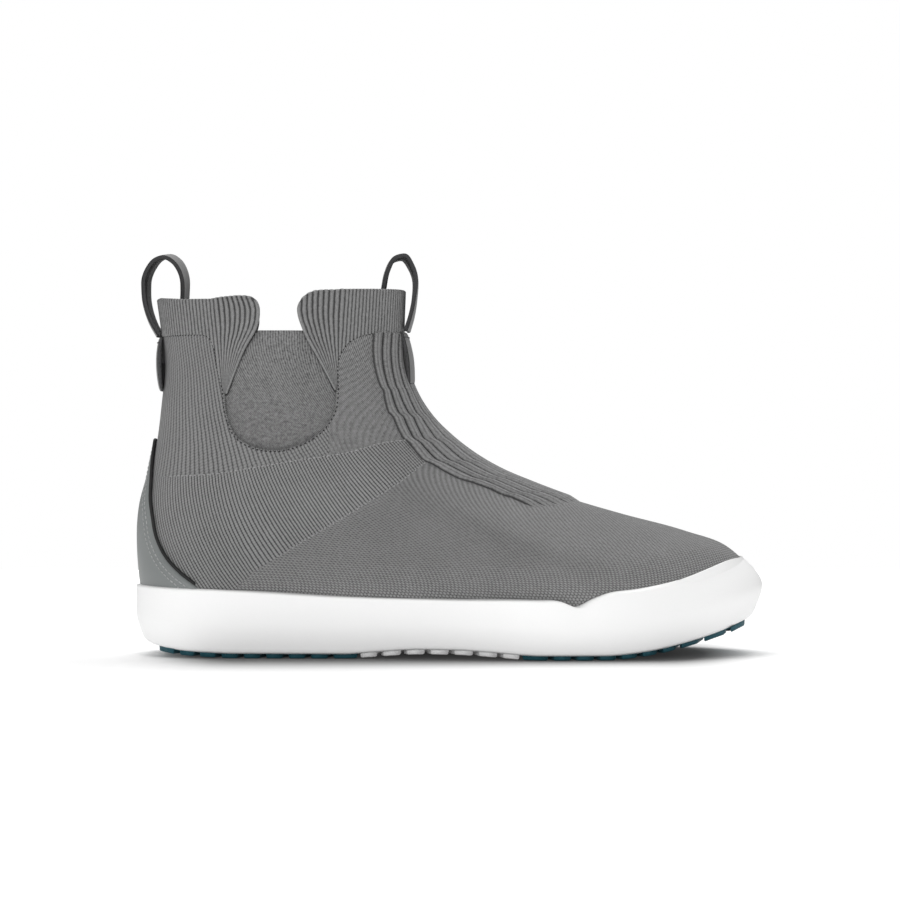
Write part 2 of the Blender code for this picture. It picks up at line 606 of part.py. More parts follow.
def shank(parts):
    """Spring-steel plate under the arch."""
    edit = bmesh.new()
    bmesh.ops.create_cube(edit, size=1)
    size = (np.ptp(SHANK_X) * MM, np.ptp(SHANK_Y) * MM, SHANK_THICKNESS * MM)
    place = (np.mean(SHANK_X) * MM, np.mean(SHANK_Y) * MM, (-GAP - SHANK_THICKNESS / 2) * MM)
    bmesh.ops.scale(edit, vec=size, verts=edit.verts)
    bmesh.ops.translate(edit, vec=place, verts=edit.verts)
    upright = [edge for edge in edit.edges if abs(edge.verts[0].co.z - edge.verts[1].co.z) > 1e-6]
    bmesh.ops.bevel(edit, geom=upright, offset=SHANK_CORNER * MM, segments=3, affect="EDGES", profile=0.5)
    mesh = bpy.data.meshes.new("shank")
    edit.to_mesh(mesh)
    edit.free()
    plate = add_object("shank", mesh, "steel", parts)
    return follow(plate, BOARD_LINE, SHANK_STATIONS)


def strobel_board(parts):
    loops = [board_loop(KNIT[1] + GAP, 0.0), board_loop(KNIT[1] + GAP, BOARD_THICKNESS)]
    board = lofted("strobel_board", loops, "board", parts, floor=True, lid=True)
    return follow(board, BOARD_LINE, [])


def footbed(parts):
    """Removable insole, with a soft upper edge and a cupped heel."""
    depth = LINING[0] + LINING[1] + FOOTBED_CLEARANCE
    low, high = FOOTBED_FLOOR, FOOTBED_FLOOR + FOOTBED_THICKNESS
    loops = [board_loop(depth + 0.8, low), board_loop(depth, low + 1.0),
             board_loop(depth + 0.2, high - 1.2), board_loop(depth + 1.8, high),
             board_loop(depth + 9.0, high - 0.8)]
    for loop in loops[2:4]:
        loop[:, 2] += eased(FOOTBED_RIM, loop[:, 0])
    bed = lofted("footbed", loops, "foam", parts, floor=True, lid=True)
    return follow(bed, BOARD_LINE, [])


# ---- Layers of the upper ----------------------------------------------------------------
# Rises of the rings of every layer, so that neighbouring layers have matching facets.
RISES = [0, 0.06, 0.11, 0.145, 0.18, 0.23, 0.30, 0.39, 0.49, 0.58, 0.66, 0.74, 0.82, 0.91, 1.0]
RING_MARGIN = 0.015
STIFFENER_FOOT = 0.025  # rise of the lower edge of the heel counter and the toe puff


def shell(name, depth, low, high, thickness, look, collection, floor_height=None):
    """A layer between two rises, given for each station; with a floor where it has a height."""
    between = [rise for rise in RISES if low.max() + RING_MARGIN < rise < high.min() - RING_MARGIN]
    rises = [low, *(np.full(len(STATIONS), rise) for rise in between), high]
    rows = [skin(STATIONS, rise, np.full(len(STATIONS), depth)) for rise in rises]
    if floor_height is not None:
        rows[0][:, 2] = eased(BOARD_LINE, rows[0][:, 0]) + floor_height
    made = lofted(name, rows, look, collection, floor=floor_height is not None)
    face_outwards(made)
    return thicken(made, thickness)


def bootie(name, layer, floor_height, rim_rise, notch_z, look, parts, cutters):
    """A sock-like layer with a closed floor, and its rim notched down to a height over each gore."""
    low = rise_at(STATIONS, lambda x: eased(BOARD_LINE, x) + floor_height)
    high = np.full(len(STATIONS), rim_rise)
    sock = applied(shell(name, layer[0], low, high, layer[1], look, parts, floor_height))
    notch = [(NOTCH_X[0], notch_z), (NOTCH_X[1], notch_z), (NOTCH_X[1], CUT_TOP), (NOTCH_X[0], CUT_TOP)]
    return boolean(sock, prism(f"{name}_notch", notch, -SIDE_REACH, SIDE_REACH, cutters), "DIFFERENCE")


def skin_patch(name, angles, rises, depth, thickness, look, parts):
    """A piece of a layer between two angles and two rises."""
    rows = [skin(angles, np.full(len(angles), rise), np.full(len(angles), depth)) for rise in rises]
    made = patch(name, rows, look, parts)
    face_outwards(made)
    return thicken(made, thickness)


def stiffeners(parts):
    """The heel counter, the pad above it and the toe puff, all in the layer behind the knit."""
    heel = np.radians([*-HALF_STATIONS[7:0:-1], *HALF_STATIONS[:8]])
    toe = np.radians([*HALF_STATIONS[16:], *(360 - HALF_STATIONS[-2:15:-1])])
    depth, thickness = BACKING[0] + 0.1, BACKING[1] - 0.2
    skin_patch("heel_counter", heel, [STIFFENER_FOOT, *RISES[1:8]], depth, thickness, "board", parts)
    skin_patch("achilles_pad", heel[2:-2], RISES[8:12], depth, thickness, "foam", parts)
    skin_patch("toe_puff", toe, [STIFFENER_FOOT, *RISES[1:7]], depth, thickness, "board", parts)


# ---- Panels of the knit -----------------------------------------------------------------
def seam_outline():
    """Outline of what the knit body leaves free: collar bands and gores."""
    rear = along(REAR_SEAM, np.linspace(0, 1, 12))
    gore = along(GORE_CURVE, np.linspace(0, 1, 19))[1:]
    front = along(FRONT_SEAM, np.linspace(0, 1, 12))[1:]
    return [(CUT_REAR, rear[0][1]), *rear, *gore, *front, (0.0, front[-1][1]), (0.0, CUT_TOP),
            (CUT_REAR, CUT_TOP)]


def moved_aside(line, distance):
    """A side-view line shifted to its left by a distance."""
    line = np.array(line)
    way = np.gradient(line, axis=0)
    way /= np.linalg.norm(way, axis=1, keepdims=True)
    return line + np.column_stack([-way[:, 1], way[:, 0]]) * distance


def collar_band(name, outline, fold, ahead, parts, cutters):
    """A ribbed band of the collar with its two flaps, cut from the skin and folded out."""
    low = np.full(len(STATIONS), RISES[9])
    band = shell(name, KNIT[0], low, np.ones(len(STATIONS)), FLAP_THICKNESS, "knit", parts)
    boolean(applied(band), prism(f"{name}_outline", outline, -SIDE_REACH, SIDE_REACH, cutters), "INTERSECT")
    (top_x, top_z), (foot_x, foot_z) = fold
    edit = bmesh.new()
    edit.from_mesh(applied(band).data)
    for step in FLAP_BENDS:
        everything = [*edit.verts, *edit.edges, *edit.faces]
        bmesh.ops.bisect_plane(edit, geom=everything, dist=1e-7,
                               plane_co=((top_x + step * ahead) * MM, 0, top_z * MM),
                               plane_no=(top_z - foot_z, 0, foot_x - top_x))
    for vertex in edit.verts:
        x, z = vertex.co.x / MM, vertex.co.z / MM
        fold_x = top_x + (foot_x - top_x) * (top_z - z) / (top_z - foot_z)
        reach = min(max((x - fold_x) * ahead / FLAP_REACH, 0.0), 1.1)
        height = min(max((z - foot_z) / (top_z - foot_z), 0.0), 1.0)
        outward = FLAP_CURL * reach ** 1.6 * (FLAP_FOOT_SHARE + (1 - FLAP_FOOT_SHARE) * height)
        vertex.co.y += math.copysign(outward, vertex.co.y) * MM
    bmesh.ops.triangulate(edit, faces=edit.faces)
    edit.to_mesh(band.data)
    edit.free()


def knit_panels(parts, cutters):
    """Knit body, collar bands and gores, each cut from the skin by its side-view outline."""
    zero, one = np.zeros(len(STATIONS)), np.ones(len(STATIONS))
    body = shell("knit_upper", KNIT[0], zero, one, KNIT[1], "knit", parts)
    opening = prism("collar_opening", seam_outline(), -SIDE_REACH, SIDE_REACH, cutters)
    boolean(applied(body), opening, "DIFFERENCE")

    seam = moved_aside(along(REAR_SEAM, np.linspace(0, 1, 12)), BAND_GAP)
    edge = along(REAR_FLAP_EDGE, np.linspace(0, 1, 12))
    outline = [(CUT_REAR, seam[0][1]), *seam, *edge, (edge[-1][0], CUT_TOP), (CUT_REAR, CUT_TOP)]
    collar_band("rear_collar_band", outline, REAR_FOLD, 1, parts, cutters)
    seam = moved_aside(along(FRONT_SEAM, np.linspace(0, 1, 12)), BAND_GAP)
    edge = along(FRONT_FLAP_EDGE, np.linspace(0, 1, 12))
    outline = [(edge[0][0], CUT_TOP), *edge, *seam, (0.0, seam[-1][1]), (0.0, CUT_TOP)]
    collar_band("front_collar_band", outline, FRONT_FOLD, -1, parts, cutters)

    gore_edge = moved_aside(along(GORE_CURVE, np.linspace(0, 1, 19)), -GORE_MARGIN)
    outline = [*gore_edge, (gore_edge[-1][0], GORE_TOP), (gore_edge[0][0], GORE_TOP)]
    low = np.full(len(STATIONS), RISES[7])
    for side, low_y, high_y in (("lateral", -SIDE_REACH, -GORE_SPLIT), ("medial", GORE_SPLIT, SIDE_REACH)):
        gore = applied(shell(f"gore_{side}", BACKING[0], low, one, BACKING[1], "gore", parts))
        boolean(gore, prism(f"gore_outline_{side}", outline, low_y, high_y, cutters), "INTERSECT")


# ---- Heel overlay and its trim ----------------------------------------------------------
def overlay_line(inset, depth):
    """Points along the overlay's edge moved in by inset, from its lateral foot over the top."""
    heights = np.concatenate([np.linspace(TRIM_FOOT, 90, 13), OVERLAY_TOP, [TRIM_TOP]])
    angles = np.radians(eased(OVERLAY_EDGE, heights))
    rises = rise_at(angles, lambda x: heights)
    widths = loop_width(angles, rises)
    edge = moved_aside(np.column_stack([angles * widths, heights]), inset)
    top = edge[-1][1] + (0.0 if inset > 0 else TRIM_TIP_RISE)
    edge = np.array([point for point in edge if point[0] > 0.8] + [(0.0, top)])
    angles = edge[:, 0] / np.interp(edge[:, 1], heights, widths)
    rises = rise_at(angles, lambda x: edge[:, 1])
    half = skin(angles, rises, np.full(len(angles), depth))
    return np.concatenate([half, half[-2::-1] * np.array([1, -1, 1])])


def heel_overlay(parts):
    """The moulded panel on the back of the heel, its piping and its two rows of stitching."""
    rows = []
    for height in [*np.linspace(OVERLAY_FOOT, 90, 9), *OVERLAY_TOP, OVERLAY_TIP]:
        limit = math.radians(float(eased(OVERLAY_EDGE, height)))
        angles = np.linspace(-limit, limit, 13)
        rises = rise_at(angles, lambda x: np.full_like(x, height))
        rows.append(skin(angles, rises, np.full(len(angles), OVERLAY[0])))
    sheet = patch("heel_overlay", rows, "overlay", parts)
    face_outwards(sheet)
    thicken(sheet, OVERLAY[1])
    line = overlay_line(-PIPING_SETBACK, -GAP - PIPING_RADIUS)
    wire("heel_piping", line, PIPING_RADIUS, "black", parts, resolution=1)
    for name, inset in STITCH_INSETS.items():
        line = overlay_line(inset, OVERLAY[0] - GAP - THREAD_RADIUS)
        wire(name, line[1:-1], THREAD_RADIUS, "strap", parts)


# ---- Pull loops -------------------------------------------------------------------------
def strap_mesh(name, centre_line, lean, bow, parts):
    """A strap standing on the collar: its centre line carried across the strap's width."""
    line = along(centre_line, np.linspace(0, 1, STRAP_SAMPLES))
    height = (line[:, 1] - line[:, 1].min()) / np.ptp(line[:, 1])
    rows = []
    for y in (-STRAP_WIDTH / 2, 0.0, STRAP_WIDTH / 2):
        share = (y / STRAP_WIDTH + 0.5) * height ** 1.5
        x = line[:, 0] + lean[0] * share - bow * (2 * y / STRAP_WIDTH) ** 2 * (1 - height)
        rows.append(np.column_stack([x, np.full(len(line), y), line[:, 1] + lean[1] * share]))
    strap = patch(name, rows, "strap", parts)
    solidify = strap.modifiers.new("thickness", "SOLIDIFY")
    solidify.thickness = STRAP_THICKNESS * MM
    solidify.offset = 0
    solidify.use_even_offset = True
    return strap


def strap_tail(name, angle, span, parts):
    """The sewn tail of a strap, lying on the boot and bulging a little."""
    across = np.linspace(-STRAP_WIDTH / 2, STRAP_WIDTH / 2, 7)
    rows = []
    for height in np.linspace(span[1], span[0], 7):
        rise = rise_at(np.array([angle]), lambda x: np.full_like(x, height))
        width = float(loop_width(np.array([angle]), rise)[0])
        angles = angle + (across / width) * (1 if angle == 0 else -1)
        bulge = TAIL_BULGE * math.sin(math.pi * (height - span[1]) / (span[0] - span[1]))
        depth = -TAIL_GAP - STRAP_THICKNESS - bulge
        rows.append(skin(angles, np.full(len(angles), rise[0]), np.full(len(angles), depth)))
    tail = patch(name, rows, "strap", parts)
    face_outwards(tail)
    return thicken(tail, TAIL_THICKNESS)


def tail_stitch(name, angle, height, parts):
    """A row of thread across a tail's upper end."""
    across = np.linspace(-STRAP_WIDTH / 2 + 1.5, STRAP_WIDTH / 2 - 1.5, 6)
    rise = rise_at(np.array([angle]), lambda x: np.full_like(x, height))
    width = float(loop_width(np.array([angle]), rise)[0])
    angles = angle + (across / width) * (1 if angle == 0 else -1)
    depth = -TAIL_GAP - STRAP_THICKNESS - GAP - 2 * THREAD_RADIUS
    wire(name, skin(angles, np.full(6, rise[0]), np.full(6, depth)), THREAD_RADIUS, "lining", parts)


def pull_loops(parts):
    strap_mesh("rear_pull_loop", REAR_LOOP, REAR_LEAN, -STRAP_BOW, parts)
    strap_mesh("front_pull_loop", FRONT_LOOP, FRONT_LEAN, STRAP_BOW, parts)
    strap_tail("rear_loop_tail", 0.0, REAR_TAIL, parts)
    strap_tail("front_loop_tail", math.pi, FRONT_TAIL, parts)
    tail_stitch("rear_loop_stitch", 0.0, REAR_TAIL[0] - 1.4, parts)
    tail_stitch("front_loop_stitch", math.pi, FRONT_TAIL[0] - 1.4, parts)


def main():
    clear_scene()
    parts = new_collection("deck_boot")
    cutters = new_collection("cutters")
    for name, span in (("outsole_heel_pad", HEEL_PAD_X), ("outsole_forefoot_pad", FOREFOOT_PAD_X)):
        pad = tread_pad(name, *span, PAD_THICKNESS, LUG_PITCH, "teal", parts, cutters)
        follow(pad, TREAD_LINE, CURVED_STATIONS)
    cupsole(parts, cutters)
    cushion_core(parts, cutters)
    shank(parts)
    strobel_board(parts)
    bootie("membrane_bootie", MEMBRANE, MEMBRANE_FLOOR, MEMBRANE_RIM, MEMBRANE_NOTCH, "membrane",
           parts, cutters)
    bootie("lining", LINING, LINING_FLOOR, LINING_RIM, LINING_NOTCH, "lining", parts, cutters)
    footbed(parts)
    stiffeners(parts)
    knit_panels(parts, cutters)
    heel_overlay(parts)
    pull_loops(parts)


main()
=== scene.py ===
"""Looks of the knit deck boot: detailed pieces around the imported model, in the same frame.

Millimetres in the constants and in the shape functions, metres in the scene.
+X points to the toe, +Y to the medial side, +Z up. The upper is one smooth skin, given
by an angle (0 at the back of the heel, 180 degrees at the instep ridge and the toe) and
a rise (0 on the sole, 1 at the collar's rim).
"""

import math

import bpy
import numpy as np
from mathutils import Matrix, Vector


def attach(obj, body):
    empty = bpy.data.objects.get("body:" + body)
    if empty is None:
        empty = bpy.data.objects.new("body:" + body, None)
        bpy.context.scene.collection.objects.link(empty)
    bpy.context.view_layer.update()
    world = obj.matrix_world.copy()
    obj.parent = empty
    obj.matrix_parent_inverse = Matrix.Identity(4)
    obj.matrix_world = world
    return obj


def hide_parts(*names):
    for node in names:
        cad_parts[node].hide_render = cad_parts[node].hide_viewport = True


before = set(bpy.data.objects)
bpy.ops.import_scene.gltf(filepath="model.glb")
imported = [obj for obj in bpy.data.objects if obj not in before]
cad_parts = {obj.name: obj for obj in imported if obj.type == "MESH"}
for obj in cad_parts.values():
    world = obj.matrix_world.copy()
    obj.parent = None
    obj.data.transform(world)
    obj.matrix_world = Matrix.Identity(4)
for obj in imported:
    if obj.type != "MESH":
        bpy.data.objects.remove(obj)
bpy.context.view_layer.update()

MM = 0.001

# ---- Dimensions of the boot, in millimetres ----------------------------------------------
HALF_LENGTH = 149.0
PAD_INSET = 4.6
LUG_HEIGHT = 2.2
CUP_FLOOR = 6.2
CUP_CHAMFER = (2.2, 1.0)
BOARD_LIFT = 6.9  # height of the footbed's lower face above the board line
STRAP_WIDTH = 20.0
STRAP_THICKNESS = 2.2
BAND_THICKNESS = 1.9
BAND_FOOT_RISE = 0.60
SEAM_GAP = 0.15
RIB_PITCH = 1.85
BODY_THICKNESS = 2.0
BODY_FOOT = 0.86  # the knit starts at this part of the rise of the sole's rim
FRONT_ZONE_X = -56.0
LINING_DEPTH = 4.7
LINING_THICKNESS = 1.0
LINING_NOTCH_X = (-109.0, -49.0)
LINING_RIM = 0.97
GORE_DEPTH = 2.25
GORE_BULGE = 1.3
GORE_TOP = 151.4
GORE_MARGIN = 3.2  # the gore's lap behind the knit
GORE_THICKNESS = 0.95
GORE_FOOT_RISE = 0.40
CREVICE_SHADE_WIDTH = 1.5  # width of the painted shade on a gore beside a flap's edge, where the flap shades it
OVERLAY_DEPTH = -1.7
OVERLAY_BACK = -0.35
HEEL_AXIS = (-80.0, 0.0, 0.0)

BACK_LINE = [(-142.0, 14.5), (-145.6, 33.0), (-147.2, 57.0), (-146.0, 71.0), (-142.6, 84.0),
             (-139.2, 101.0), (-136.9, 120.0), (-135.4, 136.0), (-136.6, 150.0), (-139.0, 167.3)]
FRONT_LINE = [(141.0, 22.0), (139.6, 44.0), (132.0, 50.6), (112.0, 58.1), (80.5, 66.6),
              (57.0, 73.6), (39.5, 80.1), (22.0, 87.6), (9.6, 95.1), (-0.2, 102.8),
              (-8.4, 110.9), (-15.4, 121.0), (-20.0, 132.0), (-22.2, 147.0), (-21.5, 171.6)]
RISE_AT_SOLE = 0.12
BOARD_LINE = [(-149, 14.5), (-90, 14.5), (-30, 13.2), (30, 11.6), (75, 11.5), (100, 13.6),
              (120, 17.2), (135, 20.6), (149, 23.6)]
TREAD_LINE = [(-149, 6.4), (-140, 3.6), (-128, 1.6), (-112, 0.4), (-100, 0.0), (-50, 0.0),
              (-36, 0.9), (-18, 2.2), (0, 2.3), (18, 1.5), (34, 0.3), (42, 0.0), (72, 0.0),
              (82, 0.7), (95, 2.4), (108, 5.0), (125, 9.3), (138, 13.4), (149, 17.6)]
WALL_LINE = [(-149, 33.3), (-92, 31.4), (-46, 28.9), (0, 28.1), (40, 28.0), (51, 27.6),
             (59, 24.9), (68, 28.5), (75, 30.9), (91, 32.9), (115, 37.5), (128, 41.6),
             (139, 44.8), (149, 46.0)]
WALL_FOOT_INSET = [(-149, 3.4), (-110, 2.4), (60, 2.2), (120, 3.0), (149, 4.5)]
WALL_HEAD_INSET = [(-149, 0.0), (-60, 0.4), (40, 1.0), (90, 2.6), (120, 6.2), (149, 10.2)]
WALL_WAIST = 0.45
FOOTBED_RIM = [(-149, 2.4), (-90, 1.4), (-40, 0.6), (10, 0), (149, 0)]
SOLE_WIDTH = [(0, 74), (15, 72), (30, 65.6), (45, 52.2), (60, 43.2), (75, 39.2), (90, 43.0),
              (105, 53.2), (120, 61.4), (135, 64.6), (150, 64.4), (165, 62.0), (180, 61)]
SOLE_CENTRE = [(-149, 0), (-95, -1), (-40, -3.6), (5, -4.4), (40, -2.2), (62, 0), (90, 2),
               (120, 4.8), (149, 7.5)]
LOOP_ANGLES = [0, 30, 60, 90, 120, 150, 180]
LOOP_WIDTHS = [
    (0.00, [66.0, 60.5, 38.4, 38.4, 57.0, 61.5, 57.5]),
    (0.12, [65.0, 60.0, 38.2, 37.6, 56.5, 60.5, 56.0]),
    (0.24, [61.0, 55.0, 38.0, 37.0, 53.0, 54.5, 50.0]),
    (0.38, [56.5, 48.5, 37.6, 36.2, 47.0, 45.5, 43.0]),
    (0.60, [50.0, 43.5, 37.0, 35.4, 38.0, 37.0, 37.0]),
    (0.80, [45.5, 41.0, 37.4, 36.2, 36.6, 36.2, 36.0]),
    (1.00, [42.0, 40.0, 38.6, 38.0, 38.0, 38.0, 38.0]),
]

REAR_SEAM = [(-137.0, 149.9), (-126.5, 150.0), (-115.8, 150.0), (-112.2, 148.6),
             (-110.0, 144.4), (-108.4, 135.2), (-105.6, 123.6)]
GORE_CURVE = [(-105.6, 123.6), (-104.2, 112.0), (-99.4, 102.2), (-90.6, 97.2), (-81.0, 96.0),
              (-69.4, 98.8), (-59.3, 105.2), (-53.3, 114.5), (-52.0, 125.4)]
FRONT_SEAM = [(-52.0, 125.4), (-52.2, 135.0), (-50.6, 141.6), (-46.2, 147.0), (-36.2, 150.8),
              (-23.0, 151.2)]
REAR_FOLD = ((-110.0, 168.0), (-105.6, 124.0))
FRONT_FOLD = ((-48.7, 170.0), (-51.6, 126.0))
REAR_FLAP_EDGE = [(-104.4, 122.6), (-96.0, 142.5), (-88.6, 156.6), (-88.2, 161.0), (-92.0, 170.0)]
FRONT_FLAP_EDGE = [(-69.4, 172.0), (-69.6, 160.8), (-67.0, 151.4), (-60.2, 138.4), (-52.9, 124.4)]
REAR_FLAP_CORNER = [(-88.3, 162.0), (-89.4, 164.6), (-91.4, 166.2), (-94.4, 166.9), (-99.0, 167.1),
                    (-106.0, 166.7), (-112.0, 166.0), (-125.0, 166.2), (-134.0, 167.0), (-142.0, 168.0)]
FRONT_FLAP_CORNER = [(-44.0, 171.8), (-52.0, 170.2), (-58.0, 169.9), (-62.2, 169.4), (-65.4, 168.0),
                     (-67.8, 165.8), (-69.2, 163.4)]
REAR_CORNER_FOOT, FRONT_CORNER_FOOT = 159.5, 162.0  # heights at which the flaps' corners start
FLAP_CURL = 8.0
FLAP_REACH = 20.0
FLAP_RIBS = 8.5  # a half rib ends the flap, so that its free edge is no groove
FLAP_FOOT_SHARE = 0.35
MEDIAL_TRIM = 6.0  # how much shorter the rear band's flap is on the medial side

# Edge of the heel panel: its height, and its angle in degrees.
OVERLAY_EDGE = [(30, 38.5), (34, 35.7), (39, 31.6), (45, 27.4), (55, 22.8), (65, 20.2), (77, 15.2),
                (90, 8.6), (97, 4.6), (101.5, 1.2)]
PIPING_RADIUS = 0.8

# Seams between the knit's zones in the side view, from the heel forwards.
UPPER_ZONE_SEAM = [(-150.0, 83.6), (-131.5, 84.3), (-108.5, 85.6), (-95.3, 87.7), (-73.4, 91.4),
                   (-46.7, 95.6), (-29.2, 100.2), (-20.9, 101.1), (-4.0, 101.4)]
LOWER_ZONE_SEAM = [(-106.0, 22.0), (-97.8, 33.7), (-92.6, 39.5), (-79.3, 47.3), (-65.3, 56.0),
                   (-54.0, 62.5), (-34.5, 74.6), (-23.2, 81.8), (-10.8, 91.4), (2.0, 101.6)]

# Slant of the ribs below the upper seam, and how much it grows with depth, by where they start.
RIB_LEAN = [(-136, 0), (-108.4, 0.12), (-92.3, 0.30), (-69.3, 0.45), (-46.2, 0.62), (-23.2, 0.85)]
RIB_BEND = [(-136, 0.0067), (-23.2, 0.0022)]

# Grooves of the instep: distance of each from the ridge line, at each rise.
GROOVES = [
    (1.000, [28.8, 22.8, 17.0, 10.8, 6.2, 2.0]),
    (0.926, [28.8, 23.0, 17.2, 11.0, 6.4, 2.1]),
    (0.868, [29.6, 24.5, 18.8, 13.0, 7.6, 2.5]),
    (0.810, [29.9, 25.6, 20.6, 14.4, 8.6, 2.8]),
    (0.762, [33.0, 27.2, 21.2, 15.8, 9.4, 3.1]),
    (0.700, [37.8, 32.0, 26.4, 18.8, 11.2, 3.6]),
    (0.636, [42.0, 34.6, 27.6, 19.6, 11.8, 3.8]),
    (0.570, [40.0, 31.4, 25.0, 17.6, 10.6, 3.5]),
    (0.527, [36.2, 30.4, 24.0, 16.4, 9.9, 3.3]),
    (0.430, [37.1, 30.4, 22.6, 14.4, 8.7, 2.9]),
]
RIDGE_HEIGHT = 1.5
JOG_TOP = 0.82  # the grooves step forwards a little at even distances below this rise
JOG_PITCH = 0.066
JOG_WIDTH = 1.7
JOG_RUN = 0.82  # part of each pitch over which a groove moves forwards
RIDGE_END = 0.442  # rise at which the ridges run out towards the toe

REAR_LOOP = [(-138.7, 150.6), (-142.2, 157.0), (-145.1, 166.6), (-145.5, 175.0),
             (-143.4, 181.8), (-139.6, 186.2), (-135.6, 187.4), (-131.2, 185.2),
             (-128.2, 180.6), (-127.0, 174.6), (-127.2, 168.0), (-128.6, 159.0), (-129.2, 152.0)]
FRONT_LOOP = [(-20.0, 152.8), (-18.0, 159.6), (-16.5, 168.0), (-15.8, 176.0), (-17.6, 183.4),
              (-21.6, 188.4), (-26.0, 187.2), (-29.0, 182.0), (-30.8, 174.6), (-31.8, 166.6),
              (-31.6, 158.6), (-30.7, 152.8)]
REAR_LEAN = (2.0, 2.0)
FRONT_LEAN = (-2.0, -0.6)
STRAP_BOW = 1.5
REAR_TAIL = (149.6, 124.6)
FRONT_TAIL = (151.8, 127.6)

HEEL_PAD_X = (-136.0, -43.0)
ARCH_PAD_X = (-41.6, 31.6)
FOREFOOT_PAD_X = (33.0, 139.0)
LUG_PITCH = 10.6
GROOVE_HALF_WIDTH = 1.4
GROOVE_ZIGZAG = 2.6
GROOVE_REACH = 66.0
GROOVE_POINTS = 9
# A lug's flank from its root to its face: height over the tread line, and how far it stands in.
LUG_BEVEL = [(LUG_HEIGHT + 0.25, 0.0), (0.55, 0.25), (0.15, 0.45), (0.0, 0.95)]
# The footbed from its lower face to its upper one: inset, height, and share of the raised rim.
FOOTBED_PROFILE = [(2.2, -2.6, 0), (0.5, -2.3, 0), (0.0, -1.2, 0.2), (0.1, 0.2, 0.7), (0.5, 1.3, 1.0),
                   (1.2, 1.9, 1.0), (2.2, 2.1, 0.95), (4.0, 1.9, 0.7), (7.0, 1.4, 0.3), (11.0, 1.0, 0.0)]

# ---- Fineness of the meshes --------------------------------------------------------------
SMALL_STEP = 1e-3
CUT_SNAP = 0.04  # points this close to a cut, in millimetres, lie on it
OUTLINE_STEPS = 40
BODY_GRID = (110, 240, 151)  # steps behind and ahead of the 95 degree station, and upwards
BAND_GRID = (440, 64)
GORE_GRID = (130, 120)
SOLE_STEPS = 720
BOARD_STEPS = 180
STRAP_STEPS = 25
LUG_STEPS = 90
PLATE_STEPS = (90, 24)
TUBE_SIDES = 10
STITCH_SIDES = 6
STITCH_FLATNESS = 0.7
STITCH_PROFILE = [(-0.5, 0.3), (-0.36, 0.85), (0.0, 1.0), (0.36, 0.85), (0.5, 0.3)]
LOOP_POWER, LOOP_MEAN = 1.7, 0.63  # roundness of a stitch's loop, and its mean height


# ---- Shape functions ---------------------------------------------------------------------
def hermite(u, span, low, high, low_slope, high_slope):
    """Cubic between two values with given slopes; u is the part of the span that has passed."""
    return (low * (1 + 2 * u) * (1 - u) ** 2 + low_slope * span * u * (1 - u) ** 2
            + high * u * u * (3 - 2 * u) + high_slope * span * u * u * (u - 1))


def interval(stops, at):
    """Index of the stop below each position, the gap to the next stop, and the part of it that has passed."""
    left = np.clip(np.searchsorted(stops, at, side="right") - 1, 0, len(stops) - 2)
    span = stops[left + 1] - stops[left]
    return left, span, (at - stops[left]) / span


def eased(table, at):
    """A smooth curve through the (position, value) pairs of a table, read at the positions."""
    xs, ys = (np.array(column, float) for column in zip(*table))
    slopes = np.gradient(ys, xs)
    rates = np.diff(ys) / np.diff(xs)
    slopes[1:-1][rates[1:] * rates[:-1] <= 0] = 0
    left, span, u = interval(xs, np.clip(np.asarray(at, float), xs[0], xs[-1]))
    return hermite(u, span, ys[left], ys[left + 1], slopes[left], slopes[left + 1])


def along(points, at, knots=None):
    """Points of a smooth curve through the given ones; at runs from 0 to 1 by length, or by knots."""
    points = np.array(points, float)
    if knots is None:
        steps = np.linalg.norm(np.diff(points, axis=0), axis=1)
        knots = np.concatenate([[0], np.cumsum(steps)]) / steps.sum()
    return np.stack([eased(list(zip(knots, column)), at) for column in points.T], axis=-1)


def line_knots(points):
    """Knots by length that put the line's second point at RISE_AT_SOLE."""
    steps = np.linalg.norm(np.diff(np.array(points, float), axis=0), axis=1)
    rest = RISE_AT_SOLE + (1 - RISE_AT_SOLE) * np.cumsum(steps[1:]) / steps[1:].sum()
    return np.concatenate([[0, RISE_AT_SOLE], rest])


BACK_KNOTS, FRONT_KNOTS = line_knots(BACK_LINE), line_knots(FRONT_LINE)


def loop_width(angle, rise):
    """Width factor of the skin; the angle is folded onto 0..180 degrees."""
    angle, rise = np.broadcast_arrays(angle, rise)
    folded = np.degrees(np.arccos(np.clip(np.cos(angle), -1, 1)))
    rows = np.stack([eased(list(zip(LOOP_ANGLES, widths)), folded) for _, widths in LOOP_WIDTHS])
    rises = np.array([row_rise for row_rise, _ in LOOP_WIDTHS])
    slopes = np.gradient(rows, rises, axis=0)
    left, span, u = interval(rises, np.clip(rise, 0, 1))

    def pick(values, index):
        return np.take_along_axis(values, index[None], 0)[0]

    return hermite(u, span, pick(rows, left), pick(rows, left + 1),
                   pick(slopes, left), pick(slopes, left + 1))


def face_point(angle, rise):
    """Point of the knit's outer face; angle in radians and rise 0..1, as arrays of one shape."""
    angle, rise = np.broadcast_arrays(np.asarray(angle, float), np.asarray(rise, float))
    share = (1 - np.cos(angle)) / 2
    back = along(BACK_LINE, rise, BACK_KNOTS)
    front = along(FRONT_LINE, rise, FRONT_KNOTS)
    (heel_x, heel_z), (toe_x, toe_z) = BACK_LINE[0], FRONT_LINE[0]
    sag = eased(BOARD_LINE, heel_x + share * (toe_x - heel_x)) - heel_z - share * (toe_z - heel_z)
    x = (1 - share) * back[..., 0] + share * front[..., 0]
    z = (1 - share) * back[..., 1] + share * front[..., 1] + (1 - rise) * sag
    centre = eased(SOLE_CENTRE, x) * (1 - rise) ** 1.2 + CENTRE_SHIFT
    return np.stack([x, centre - loop_width(angle, rise) * np.sin(angle), z], axis=-1)


